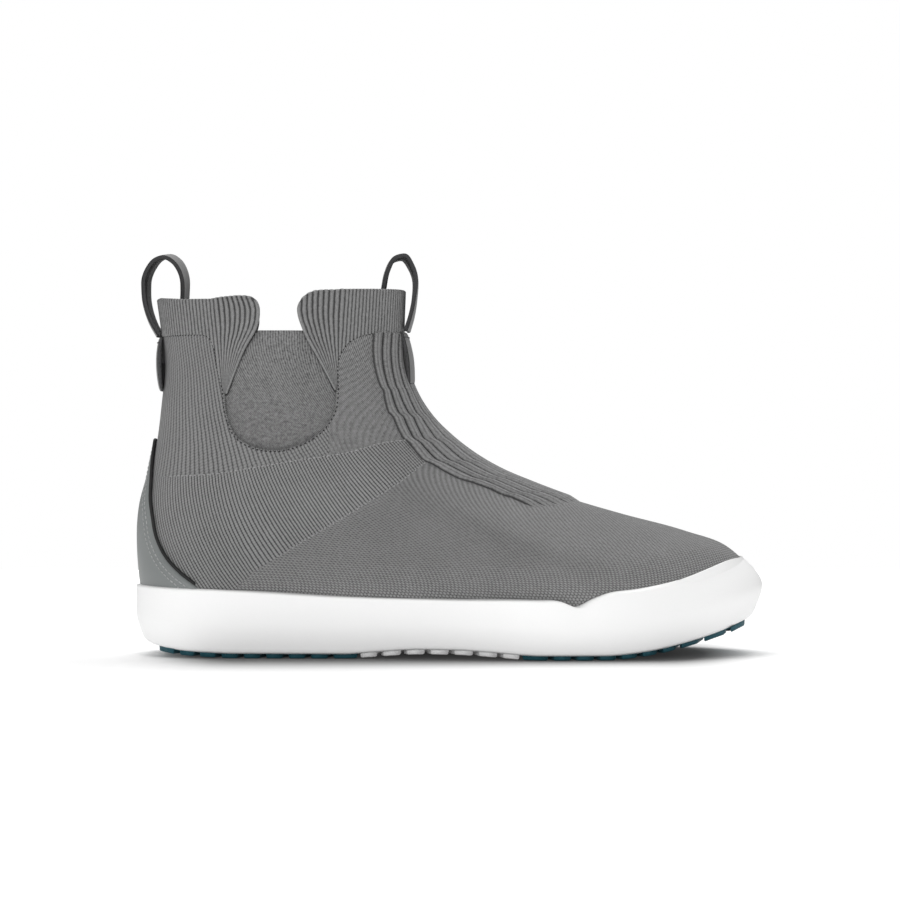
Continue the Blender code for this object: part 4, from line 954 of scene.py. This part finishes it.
# ---- Collar bands ------------------------------------------------------------------------
def collar_band(name, node, span, outline, fold, flap_edge, ahead):
    """A ribbed band with a flap at each end, fanned out past the fold; ahead is 1 or -1, towards the flap."""
    (top_x, top_z), (foot_x, foot_z) = fold

    def fold_at(height):
        return top_x + (foot_x - top_x) * (top_z - height) / (top_z - foot_z)

    around, upwards = BAND_GRID
    angles = np.radians(np.linspace(*span, around))
    angle, rise = np.broadcast_arrays(angles[None, :], np.linspace(BAND_FOOT_RISE, 1, upwards)[:, None])
    x, _, z = np.moveaxis(face_point(angle, rise), -1, 0)
    edge = along(flap_edge, np.linspace(0, 1, 30))
    edge = edge[np.argsort(edge[:, 1])]
    edge_x = np.interp(z, edge[:, 1], edge[:, 0])
    past = (x - fold_at(z)) * ahead
    width = np.maximum((edge_x - fold_at(z)) * ahead, 0.8)
    place = unrolled(angle, rise)
    # the fold's own position along the unrolled side, row by row and side by side
    folds = np.zeros_like(place)
    for row in range(upwards):
        for part in (slice(0, around // 2), slice(around // 2, None)):
            order = np.argsort(past[row, part])
            folds[row, part] = np.interp(0.0, past[row, part][order], place[row, part][order])
    ribs = np.where(past > 0, FLAP_RIBS * past / width, (place - folds) * ahead / RIB_PITCH)
    pitch = np.where(past > 0, width / FLAP_RIBS, RIB_PITCH)
    high = smooth((z - foot_z) / (top_z - foot_z))
    flap = smooth(past / 3.0 + 0.3)
    strength = (0.36 * (1 - flap) + (0.35 + 0.55 * high) * flap) * np.clip((pitch - 0.55) / 1.1, 0, 1)
    wave = np.abs(2 * np.mod(ribs, 1.0) - 1)
    lift = strength * (1 - wave ** 2.4)
    # painted shade in the grooves between the ribs, stronger on the flaps and high up
    crease_shade = wave ** 6 * (0.24 + 0.6 * flap * high) * np.clip((pitch - 0.5) / 0.9, 0, 1)
    _, climb = lengths_on_skin(angle, rise)
    rows = packed(angle, rise, lift, crease_shade, ribs, climb / 0.95)
    view = trimmed(side_view(rows), (rows[:, 1] < 0) & (ahead > 0))
    rows, faces, _ = divided(rows, grid_faces(*angle.shape), outline_value(outline, view))
    rows, faces = compact(rows, faces)
    angle, rise = unpacked(rows)
    x, z = side_view(rows).T
    reach = np.clip((x - fold_at(z)) * ahead / FLAP_REACH, 0, 1.1)
    height = np.clip((z - foot_z) / (top_z - foot_z), 0, 1)
    curl = FLAP_CURL * reach ** 1.6 * (FLAP_FOOT_SHARE + (1 - FLAP_FOOT_SHARE) * height)
    way = np.outer(-np.sign(rows[:, 1]) * curl, (0, 1, 0))
    points, made, source = with_thickness(skin(angle, rise, -rows[:, 3]) + way,
                                          skin(angle, rise, BAND_THICKNESS) + way, faces, roll=0.3)
    uvs = corner_uvs(rows[:, 5:7], made, source)
    band = new_mesh(name, points, made, [KNIT_BAND], None, uvs, rows[:, 4][source])
    placed(band, "boot", "grey_knit", node)


def collar():
    """The two bands, each with its outline in the side view."""
    share = np.linspace(0, 1, OUTLINE_STEPS)
    seam, edge = moved_aside(along(REAR_SEAM, share), SEAM_GAP), along(REAR_FLAP_EDGE, share)
    edge = edge[edge[:, 1] < REAR_CORNER_FOOT]
    outline = np.array([(-165.0, seam[0][1]), *seam, *edge, *REAR_FLAP_CORNER, (-165.0, 168.5)])
    collar_band("collar_rear", "rear_collar_band", (-92, 92), outline, REAR_FOLD, REAR_FLAP_EDGE, 1)
    seam, edge = moved_aside(along(FRONT_SEAM, share), SEAM_GAP), along(FRONT_FLAP_EDGE, share)
    edge = edge[edge[:, 1] < FRONT_CORNER_FOOT]
    outline = np.array([(-43.0, 195.0), *FRONT_FLAP_CORNER, *edge, *seam, (12.0, seam[-1][1]), (12.0, 195.0)])
    collar_band("collar_front", "front_collar_band", (94, 266), outline, FRONT_FOLD, FRONT_FLAP_EDGE, -1)


# ---- Gores -------------------------------------------------------------------------------
def crevice_shade(view, medial):
    """Painted shade on a gore beside the free edges of the flaps over it: how close its points lie to them,
    from 1 to 0.
    """
    share = np.linspace(0, 1, OUTLINE_STEPS)
    gap = np.minimum(distance_to(along(REAR_FLAP_EDGE, share), trimmed(view, medial)),
                     distance_to(along(FRONT_FLAP_EDGE, share), view))
    return 1 - smooth(gap / CREVICE_SHADE_WIDTH)


def gores():
    """The elastic panels: each is a sheet whose lap lies behind the knit's edge."""
    edge = moved_aside(along(GORE_CURVE, np.linspace(0, 1, OUTLINE_STEPS)), -GORE_MARGIN)
    outline = np.array([*edge, (edge[-1][0], GORE_TOP), (edge[0][0], GORE_TOP)])
    around, upwards = GORE_GRID
    for side, span in (("lateral", (44, 122)), ("medial", (238, 316))):
        angle, rise = np.broadcast_arrays(np.radians(np.linspace(*span, around))[None, :],
                                          np.linspace(GORE_FOOT_RISE, 1.0, upwards)[:, None])
        rows = packed(angle, rise, *lengths_on_skin(angle, rise))
        rows, faces, _ = divided(rows, grid_faces(*angle.shape), outline_value(outline, side_view(rows)))
        rows, faces = compact(rows, faces)
        angle, rise = unpacked(rows)
        view = side_view(rows)
        depth = GORE_DEPTH - GORE_BULGE * smooth((distance_to(edge, view) - GORE_MARGIN + 0.6) / 13.0)
        outer = skin(angle, rise, depth)
        inner = skin(angle, rise, depth + GORE_THICKNESS)
        points, made, source = with_thickness(outer, inner, faces, roll=0.4)
        uvs = corner_uvs(rows[:, 3:5] / np.array([1.25, 1.4]), made, source)
        # the gore carries painted shade beside the flaps' free edges
        gore = new_mesh(f"gore_cloth_{side}", points, made, [KNIT_GORE], None, uvs,
                        crevice_shade(view, side == "medial")[source])
        placed(gore, "boot", "gore_knit", f"gore_{side}")
        width, length = np.ptp(unrolled(angle, rise)), np.ptp(outer[:, 2])


# ---- Seams -------------------------------------------------------------------------------
def on_side(line, medial, lift):
    """Points of the skin under a side-view line, on one side of the boot, with the normals there."""
    angle = np.full(len(line), math.pi / 2)
    rise = np.full(len(line), 0.5)
    for _ in range(40):
        point = face_point(angle, rise)
        angle = np.clip(angle + (line[:, 0] - point[:, 0]) / 75.0, 0.02, math.pi - 0.02)
        rise = np.clip(rise + (line[:, 1] - point[:, 2]) / 170.0, 0.0, 1.0)
    if medial:
        angle = 2 * math.pi - angle
    return skin(angle, rise, -lift), face_normal(angle, rise)


def seam_rows():
    """The sewn rows along the edges of the panels and of the knit's zones."""
    share = np.linspace(0, 1, 160)
    gore_edge = moved_aside(along(GORE_CURVE, share), -0.25)
    # line, lift, pitch, length and radius of a stitch, and thread
    rows = {"collar_rear": (REAR_SEAM, 0.12, 1.75, 0.95, 0.34, STITCH_DARK),
            "collar_front": (FRONT_SEAM, 0.12, 1.75, 0.95, 0.34, STITCH_DARK),
            "gore": (gore_edge, 0.05, 2.1, 1.0, 0.34, STITCH_DARK),
            "zone_upper": (UPPER_ZONE_SEAM[1:-1], 0.02, 2.2, 1.2, 0.36, STITCH_LIGHT),
            "zone_lower": (LOWER_ZONE_SEAM[3:-1], 0.02, 2.2, 1.1, 0.32, STITCH_LIGHT)}
    for name, (line, lift, pitch, length, radius, look) in rows.items():
        for side in ("lateral", "medial"):
            path, normals = on_side(along(line, share), side == "medial", lift)
            spots, ways = by_length(path, pitch)
            nearest = [int(np.argmin(np.linalg.norm(path - spot, axis=1))) for spot in spots]
            threads = stitches(f"seam_{name}_{side}", spots, ways, normals[nearest], length, radius, look)
            placed(threads, "boot", "thread")


# ---- Heel overlay ------------------------------------------------------------------------
def overlay_line(inset, depth):
    """A line round the heel panel, inset from its edge, from one foot over the top to the other."""
    heights = np.concatenate([np.linspace(34.0, 90, 60), [92, 94.5, 97, 98.6, 100.0]])
    angles = np.radians(eased(OVERLAY_EDGE, heights))
    widths = loop_width(angles, rise_at(angles, heights))
    edge = moved_aside(np.column_stack([angles * widths, heights]), inset)
    top = edge[-1][1] + (0.0 if inset > 0 else 0.6)
    edge = np.array([point for point in edge if point[0] > 0.8] + [(0.0, top)])
    angles = edge[:, 0] / np.interp(edge[:, 1], heights, widths)
    half = skin(angles, rise_at(angles, edge[:, 1]), depth)
    return np.concatenate([half, half[-2::-1] * np.array([1, -1, 1])])


def heel_panel():
    """The coated panel over the heel, with its cord and its two sewn rows."""
    heights = np.concatenate([np.linspace(31.2, 90, 84), [92, 94, 96, 97.6, 98.8, 99.8, 100.5]])
    limit = np.radians(eased(OVERLAY_EDGE, heights))[:, None]
    share = np.concatenate([-1 + np.linspace(0, 0.12, 6), np.linspace(-0.86, 0.86, 36),
                            1 - np.linspace(0.12, 0, 6)])
    angle = limit * share[None, :]
    rise = rise_at(angle, heights[:, None])
    inset = np.minimum((limit - np.abs(angle)) * loop_width(angle, rise),
                       (100.8 - heights)[:, None] * 0.5 + 0.1)
    crown = 0.75 * (1 - smooth((inset + 0.1) / 1.6))
    points, made, _ = with_thickness(skin(angle, rise, OVERLAY_DEPTH + crown).reshape(-1, 3),
                                     skin(angle, rise, OVERLAY_BACK).reshape(-1, 3),
                                     grid_faces(*angle.shape), roll=0.3)
    placed(new_mesh("heel_panel", points, made, [COATED]), "boot", "overlay", "heel_overlay")
    line = along(overlay_line(-1.0, -0.3 - PIPING_RADIUS), np.linspace(0, 1, 220))
    piping = tube("heel_cord_trim", line, PIPING_RADIUS, BLACK_TRIM, up=(1, 0, 0))
    placed(piping, "boot", "black_trim", "heel_piping")
    for name, inset in (("outer", 2.5), ("inner", 4.8)):
        spots, ways = by_length(overlay_line(inset, OVERLAY_DEPTH - 0.08), 2.45)
        outwards = (spots - HEEL_AXIS) * np.array([1, 1, 0])
        rows = stitches(f"heel_seam_{name}", spots, ways, outwards, 1.7, 0.36, STITCH_GREY)
        placed(rows, "boot", "thread", f"heel_stitch_{name}")


# ---- Pull loops --------------------------------------------------------------------------
def strap_object(name, outer, inner, shape, flip, lengthwise=True):
    """A webbing strap from its outer and inner surface: grey face, dark back and edges."""
    faces = renumbered(grid_faces(*shape), 0, flip)
    points, made, _ = with_thickness(outer.reshape(-1, 3), inner.reshape(-1, 3), faces, roll=0.42)
    row, column = (index.ravel() for index in np.indices((shape[0] - 1, shape[1] - 1)))
    on_edge = np.isin(row, (0, shape[0] - 2)) if lengthwise else np.isin(column, (0, shape[1] - 2))
    rim = [2] * (len(made) - 2 * len(faces))
    slots = [*np.where(on_edge, 2, 0), *rim, *np.where(on_edge, 2, 1)]
    return new_mesh(name, points, made, [STRAP_FACE, STRAP_BACK, STRAP_EDGE], slots)


def pull_loop(name, node, body, centre_line, lean, bow):
    """A free loop of webbing round a side-view line; it leans at its top and bows at its feet."""
    line = along(centre_line, np.linspace(0, 1, 110))
    height = (line[:, 1] - line[:, 1].min()) / np.ptp(line[:, 1])
    across = np.linspace(-1, 1, STRAP_STEPS) * (STRAP_WIDTH / 2 - 0.35)
    rows = []
    for y in across:
        share = (y / STRAP_WIDTH + 0.5) * height ** 1.5
        x = line[:, 0] + lean[0] * share - bow * (2 * y / STRAP_WIDTH) ** 2 * (1 - height)
        rows.append(np.column_stack([x, np.full(len(line), y), line[:, 1] + lean[1] * share]))
    middle = np.array(rows)
    normal = np.cross(np.gradient(middle, axis=0), np.gradient(middle, axis=1))
    normal /= np.linalg.norm(normal, axis=-1, keepdims=True)
    flip = ((middle - middle.mean(axis=(0, 1))) * normal).sum() < 0
    edge = 0.25 * (np.abs(across) / across.max())[:, None, None] ** 8
    half = normal * (STRAP_THICKNESS / 2 - edge) * (-1 if flip else 1)
    strap = strap_object(name, middle + half, middle - half, middle.shape[:2], flip)
    placed(strap, body, "webbing", node)


def across_strap(angle, height, width, steps):
    """Angles across a strap that lies on the skin at one end of the boot, and the rise there."""
    rise = rise_at(np.array([angle]), height)
    radius = float(loop_width(np.array([angle]), rise)[0])
    offsets = np.linspace(-width / 2, width / 2, steps) / radius
    return angle + offsets * (1 if angle == 0 else -1), rise[0]


def strap_tail(name, node, angle, span):
    """The sewn end of a strap: flat at its ends, padded out between them."""
    top, foot = span
    outer, inner = [], []
    for height in np.linspace(foot, top, 40):
        angles, rise = across_strap(angle, height, STRAP_WIDTH, STRAP_STEPS)
        bow = max(0.0, math.sin(math.pi * (height - foot) / (top - foot)))
        full = 0.45 + 0.55 * bow ** 0.6
        outer.append(skin(angles, rise, -0.3 - 2.8 * full - 1.2 * bow))
        inner.append(skin(angles, rise, -0.3 - 0.9 * full - 1.2 * bow))
    outer, inner = np.array(outer), np.array(inner)
    way = np.cross(outer[1, 0] - outer[0, 0], outer[0, 1] - outer[0, 0])
    flip = (way @ (outer[0, 0] - inner[0, 0])) > 0
    strap = strap_object(name, outer, inner, outer.shape[:2], flip, lengthwise=False)
    placed(strap, "boot", "webbing", node)


def tail_stitch(name, node, angle, height):
    """The row of thread across a strap, just below its free loop."""
    angles, rise = across_strap(angle, height, STRAP_WIDTH - 3.2, 9)
    ways = np.tile([0.0, 1.0, 0.0], (9, 1))
    lifts = np.tile([1.0 if angle else -1.0, 0.0, 0.0], (9, 1))
    row = stitches(name, skin(angles, rise, -2.75), ways, lifts, 1.5, 0.28, STITCH_DARK)
    placed(row, "boot", "thread", node)


def straps():
    """Both pull loops, then both tails, then both rows of thread."""
    pull_loop("rear_strap", "rear_pull_loop", "rear_loop", REAR_LOOP, REAR_LEAN, -STRAP_BOW)
    pull_loop("front_strap", "front_pull_loop", "front_loop", FRONT_LOOP, FRONT_LEAN, STRAP_BOW)
    strap_tail("rear_strap_tail", "rear_loop_tail", 0.0, REAR_TAIL)
    strap_tail("front_strap_tail", "front_loop_tail", math.pi, FRONT_TAIL)
    tail_stitch("rear_strap_seam", "rear_loop_stitch", 0.0, REAR_TAIL[0] - 2.0)
    tail_stitch("front_strap_seam", "front_loop_stitch", math.pi, FRONT_TAIL[0] - 2.0)


# ---- Sole --------------------------------------------------------------------------------
def plan_limits():
    """The tread's edge in plan, as the lateral and the medial half."""
    loop = sole_edge(np.radians(np.arange(0, 360, 1.0)), PAD_INSET)
    lateral, medial = loop[loop[:, 1] < 0], loop[loop[:, 1] >= 0]
    return [edge[np.argsort(edge[:, 0])] for edge in (lateral, medial)]


def lug_field(low_x, high_x, limits, plate):
    """Bevelled zigzag lugs between two positions, and the plate they stand on if asked for."""
    count = round((high_x - low_x) / LUG_PITCH)
    knots = np.linspace(-GROOVE_REACH, GROOVE_REACH, GROOVE_POINTS)
    zigzag = np.where(np.arange(GROOVE_POINTS) % 2, GROOVE_ZIGZAG, -GROOVE_ZIGZAG)
    points, faces = [], []

    def sides(x):
        return [np.interp(x, edge[:, 0], edge[:, 1]) for edge in limits]

    def line(x, offset, straight):
        near, far = sides(x)
        y = np.linspace(near + 0.1, far - 0.1, LUG_STEPS)
        shift = np.interp(y, knots, zigzag) * (0.0 if straight else 1.0)
        return np.column_stack([x + shift + offset, y])

    ring = [(lift, inset, 0) for lift, inset in LUG_BEVEL]
    ring += [(lift, inset, 1) for lift, inset in LUG_BEVEL[::-1]]
    size = len(ring)
    shape = [(a, a + 1, a + size + 1, a + size)
             for k in range(LUG_STEPS - 1) for a in range(k * size, (k + 1) * size - 1)]
    shape += [tuple(range(size))[::-1], tuple(range((LUG_STEPS - 1) * size, LUG_STEPS * size))]
    for i in range(count):
        first, last = i == 0, i == count - 1
        low = low_x + i * (high_x - low_x) / count
        high = low_x + (i + 1) * (high_x - low_x) / count
        rear = line(low, 0.0 if first else GROOVE_HALF_WIDTH, first)
        fore = line(high, 0.0 if last else -GROOVE_HALF_WIDTH, last)
        faces += renumbered(shape, len(points))
        for k, (a, b) in enumerate(zip(rear, fore)):
            way = b - a
            length = max(np.linalg.norm(way), 1e-6)
            end = 0.5 if k in (0, LUG_STEPS - 1) else 0.0
            for lift, inset, side in ring:
                step = way * min(inset / length, 0.45)
                plan = b - step if side else a + step
                level = eased(TREAD_LINE, plan[0]) + max(lift, end)
                points.append((plan[0], plan[1], float(level)))
    if plate:
        start = len(points)
        xs = np.arange(low_x, high_x + 0.01, (high_x - low_x) / PLATE_STEPS[0])
        across = PLATE_STEPS[1]
        for lift in (LUG_HEIGHT - 0.2, LUG_HEIGHT + 1.2):
            points += [(x, y, float(eased(TREAD_LINE, x)) + lift)
                       for x in xs for y in np.linspace(*sides(x), across)]
        upper = start + len(xs) * across
        sheet = grid_faces(len(xs), across)
        faces += renumbered(sheet, start, flip=True) + renumbered(sheet, upper)
        faces += [(start + a, start + b, upper + b, upper + a) for a, b in border(sheet)]
    return np.array(points), faces


def sole():
    """The cup with its wall, lip and pocket and the white arch lugs, and the two tread pads."""
    count = SOLE_STEPS
    stations = np.radians(np.arange(count) * 360 / count)
    outline_x = sole_edge(stations, 0.0)[:, 0]

    def tread(x):
        return eased(TREAD_LINE, x) + LUG_HEIGHT

    chamfer_in, chamfer_up = CUP_CHAMFER
    rows = []
    for turn in (0.0, 0.25, 0.5, 0.75):
        plan = sole_edge(stations, wall_inset(0.0, outline_x) + chamfer_in * (1 - turn) ** 1.5)
        rows.append(np.column_stack([plan, tread(plan[:, 0]) + chamfer_up * turn ** 1.5]))
    head = eased(WALL_LINE, outline_x)
    for part in [*np.linspace(0, 0.9, 19), 0.94, 0.97]:
        plan = sole_edge(stations, wall_inset(part, outline_x))
        foot = tread(plan[:, 0]) + chamfer_up
        rows.append(np.column_stack([plan, foot + part * (head - foot)]))
    rim = rise_at(stations, lambda x: eased(WALL_LINE, x))
    inner = skin(stations, rim, -0.12)
    outer = rows[-1].copy()
    for turn in (0.25, 0.5, 0.75):
        ring = outer + (inner - outer) * smooth(turn)
        ring[:, 2] = outer[:, 2] + (head - outer[:, 2]) * math.sin(turn * math.pi / 2 * 1.2)
        rows.append(ring)
    inner[:, 2] = head - 0.5
    rows.append(inner)
    for share, depth in ((0.9, -0.15), (0.6, -0.15), (0.3, 0.5), (0.0, 1.8)):
        rows.append(skin(stations, rim * share, depth))
    pocket = rows[-1].copy()
    pocket[:, 2] = eased(TREAD_LINE, pocket[:, 0]) + CUP_FLOOR
    rows.append(pocket)
    points, faces = capped(np.concatenate(rows), grid_faces(len(rows), count, closed=True), 0, count, 12)
    points, faces = capped(points, faces, (len(rows) - 1) * count, count, 12, flip=True)
    limits = plan_limits()
    lugs, lug_faces = lug_field(*ARCH_PAD_X, limits, plate=False)
    faces += renumbered(lug_faces, len(points))
    cup = new_mesh("sole_cup", np.concatenate([points, lugs]), faces, [WHITE_RUBBER])
    placed(cup, "boot", "white_rubber", "cupsole")
    for name, node, span in (("tread_heel", "outsole_heel_pad", HEEL_PAD_X),
                             ("tread_forefoot", "outsole_forefoot_pad", FOREFOOT_PAD_X)):
        pad = new_mesh(name, *lug_field(*span, limits, plate=True), [TEAL_RUBBER])
        placed(pad, "boot", "teal_rubber", node)


# ---- Inside ------------------------------------------------------------------------------
def board_loop(depth, height):
    """A closed line round the boot's inside, at a depth from its skin and a height over the board."""
    stations = np.radians(np.arange(BOARD_STEPS) * 360 / BOARD_STEPS)
    loop = skin(stations, 0.002, depth)
    loop[:, 2] = eased(BOARD_LINE, loop[:, 0]) + height
    return loop


def sock_lining():
    """The inner sock: its wall, cut down at the gores, and its floor."""
    angles = round_angles(60, 60)
    low = rise_at(angles, lambda x: eased(BOARD_LINE, x) + 6.4)[None, :]
    share = np.linspace(0, 1, 70)[:, None]
    rows = packed(angles[None, :], low + (LINING_RIM - low) * share)
    rear_x, fore_x = LINING_NOTCH_X
    notch = np.array([(rear_x, GORE_TOP - 0.6), (fore_x, GORE_TOP - 0.6), (fore_x, 195.0), (rear_x, 195.0)])
    faces = grid_faces(len(share), len(angles))
    rows, _, faces = divided(rows, faces, outline_value(notch, side_view(rows)))
    rows, faces = compact(rows, faces)
    angle, rise = unpacked(rows)
    points, made, source = with_thickness(skin(angle, rise, LINING_DEPTH),
                                          skin(angle, rise, LINING_DEPTH + LINING_THICKNESS), faces, roll=0.4)
    uvs = corner_uvs(np.column_stack(lengths_on_skin(angle, rise)) / 1.2, made, source)
    floor, floor_faces = capped(board_loop(LINING_DEPTH, 4.0), [], 0, BOARD_STEPS, 24, flip=True)
    uvs = np.concatenate([uvs, corner_uvs(floor[:, :2] / 1.2, floor_faces)])
    made += renumbered(floor_faces, len(points))
    sock = new_mesh("sock_lining", np.concatenate([points, floor]), made, [LINING], None, uvs)
    placed(sock, "boot", "lining_fabric", "lining")


def footbed():
    """The loose footbed: a moulded pad with a raised, rounded rim."""
    loops = []
    for inset, height, rim in FOOTBED_PROFILE:
        loop = board_loop(LINING_DEPTH + LINING_THICKNESS + 2.3 + inset, BOARD_LIFT + height)
        loop[:, 2] += rim * eased(FOOTBED_RIM, loop[:, 0])
        loops.append(loop)
    faces = grid_faces(len(loops), BOARD_STEPS, closed=True)
    points, faces = capped(np.concatenate(loops), faces, 0, BOARD_STEPS, 16)
    points, faces = capped(points, faces, (len(loops) - 1) * BOARD_STEPS, BOARD_STEPS, 24,
                           lift=lambda side: 0.5 * (1 - side * side), flip=True)
    uvs = corner_uvs(points[:, :2] / 1.3, faces)
    bed = new_mesh("footbed_pad", points, faces, [FOOTBED_COVER], None, uvs)
    placed(bed, "insole", "foam", "footbed")


def hidden_parts():
    """Finishes of the parts inside the boot, whose shapes stay as they are."""
    board = {"roughness": 0.85, "grain": 0.0002}
    coats = {
        "membrane_bootie": ("membrane_film", (0.62, 0.64, 0.66), (0.74, 0.76, 0.78), {"roughness": 0.45}),
        "cushion_core": ("core_foam", (0.50, 0.50, 0.47), (0.60, 0.60, 0.56),
                         {"roughness": 0.9, "grain": 0.0003, "scale": 700.0}),
        "shank": ("shank_steel", (0.32, 0.33, 0.35), (0.40, 0.41, 0.43),
                  {"roughness": 0.38, "scale": 600.0, "metallic": 0.9}),
        "strobel_board": ("board_fibre", (0.55, 0.51, 0.43), (0.64, 0.60, 0.52), {**board, "roughness": 0.9}),
        "heel_counter": ("counter_fibre", (0.56, 0.52, 0.45), (0.64, 0.60, 0.52), board),
        "toe_puff": ("puff_fibre", (0.55, 0.52, 0.46), (0.64, 0.60, 0.53), board),
        "achilles_pad": ("pad_foam", (0.20, 0.20, 0.21), (0.28, 0.28, 0.29),
                         {"roughness": 0.95, "grain": 0.0003}),
    }
    for node, (name, low, high, settings) in coats.items():
        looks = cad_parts[node].data.materials
        looks.clear()
        looks.append(smooth_coat(name, low, high, **settings))


# ---- Floor, light and camera -------------------------------------------------------------
SKY_LIGHT = 0.36
FLOOR_GLOW = 0.16
FAR_GLOW = (0.35, 1.0, 0.8)  # added to it from and to a distance in metres, up to a strength
# The contact shade, by distance from the footprint's middle line, as parts of its reach.
SHADE_HALF_LENGTH = 0.095
SHADE_END_STEEPNESS = 1.93
SHADE_REACH = 0.140
SHADE_LEVELS = [(0.0, 0.12), (0.34, 0.22), (0.44, 0.45), (0.56, 0.72), (0.66, 0.88), (0.76, 0.97),
                (0.88, 1.0)]
FLOOR_CORNERS = [(-1300, -1270, -0.05), (1300, -1270, -0.05), (1300, 900, -0.05), (-1300, 900, -0.05)]
LAMPS = [  # name, place, target, size in metres and power in watts
    ("overhead", (0.0, 0.45, 1.5), (0.0, 0.0, 0.05), (1.4, 0.8), 19.0),
    ("front", (-0.4, -2.5, 0.55), (0.0, 0.0, 0.09), (1.4, 0.8), 26.5),
]
CAMERA_PLACE = (-0.0002, -1.3, 0.0965)
CAMERA_LENS = 109.4


def floor_paper():
    """Pale paper with a soft contact shade round the sole, by distance from its footprint."""
    look = Look("floor_paper", 0.9, specular=0.0)
    grain = look.noise(60.0, 3.0, 0.5)
    paper = look.ramp(grain, [(0.3, (0.94, 0.94, 0.94)), (0.7, (0.96, 0.96, 0.96))])
    place = look.node("ShaderNodeTexCoord").outputs["Object"]
    parts = look.node("ShaderNodeSeparateXYZ")
    look.join(place, parts.inputs[0])
    past = look.less(look.math("ABSOLUTE", parts.outputs[0]), SHADE_HALF_LENGTH)
    past = look.times(look.math("MAXIMUM", past, 0.0), SHADE_END_STEEPNESS)
    reach = look.add(look.times(past, past), look.times(parts.outputs[1], parts.outputs[1]))
    reach = look.math("DIVIDE", look.math("SQRT", reach), SHADE_REACH)
    contact = look.ramp(reach, [(at, (level, level, level)) for at, level in SHADE_LEVELS])
    mixed = look.node("ShaderNodeMix", data_type="RGBA", blend_type="MULTIPLY")
    mixed.inputs["Factor"].default_value = 1.0
    look.join(paper, mixed.inputs[6])
    look.join(contact, mixed.inputs[7])
    look.colour(mixed.outputs[2])
    look.join(contact, look.shader.inputs["Emission Color"])
    # far from the lamps the paper is seen to glow more, so that it stays as pale as the backdrop
    span = look.node("ShaderNodeVectorMath", operation="LENGTH")
    look.join(place, span.inputs[0])
    glow = look.node("ShaderNodeMapRange")
    for socket, value in zip(("From Min", "From Max", "To Max"), FAR_GLOW):
        glow.inputs[socket].default_value = value
    look.join(span.outputs["Value"], glow.inputs["Value"])
    seen = look.node("ShaderNodeLightPath").outputs["Is Camera Ray"]
    strength = look.add(look.times(glow.outputs[0], seen), FLOOR_GLOW)
    look.join(strength, look.shader.inputs["Emission Strength"])
    return look.material


def studio():
    """The backdrop, the floor, two soft lamps and the camera."""
    scene = bpy.context.scene
    scene.view_settings.view_transform = "Standard"
    scene.world = bpy.data.worlds.new("studio")
    scene.world.use_nodes = True
    nodes, links = scene.world.node_tree.nodes, scene.world.node_tree.links
    sky = nodes["Background"]
    sky.inputs["Color"].default_value = (1, 1, 1, 1)
    # the backdrop is seen white, and lights the boot softly
    path, level = nodes.new("ShaderNodeLightPath"), nodes.new("ShaderNodeMapRange")
    level.inputs["To Min"].default_value = SKY_LIGHT
    level.inputs["To Max"].default_value = 1.0
    links.new(path.outputs["Is Camera Ray"], level.inputs["Value"])
    links.new(level.outputs[0], sky.inputs["Strength"])
    new_mesh("floor", FLOOR_CORNERS, [(0, 1, 2, 3)], [floor_paper()])
    for name, place, target, size, power in LAMPS:
        lamp = bpy.data.lights.new(name, "AREA")
        lamp.shape = "RECTANGLE"
        lamp.size, lamp.size_y = size
        lamp.energy = power
        item = bpy.data.objects.new(name, lamp)
        item.location = place
        item.rotation_euler = (Vector(target) - Vector(place)).to_track_quat("-Z", "Y").to_euler()
        scene.collection.objects.link(item)
    view = bpy.data.cameras.new("camera")
    view.sensor_width = 36
    view.lens = CAMERA_LENS
    camera = bpy.data.objects.new("camera", view)
    camera.location = CAMERA_PLACE
    camera.rotation_euler = (math.radians(90), 0, 0)
    scene.collection.objects.link(camera)
    scene.camera = camera


studio()
knit_body()
collar()
gores()
seam_rows()
heel_panel()
straps()
sole()
sock_lining()
footbed()
hidden_parts()
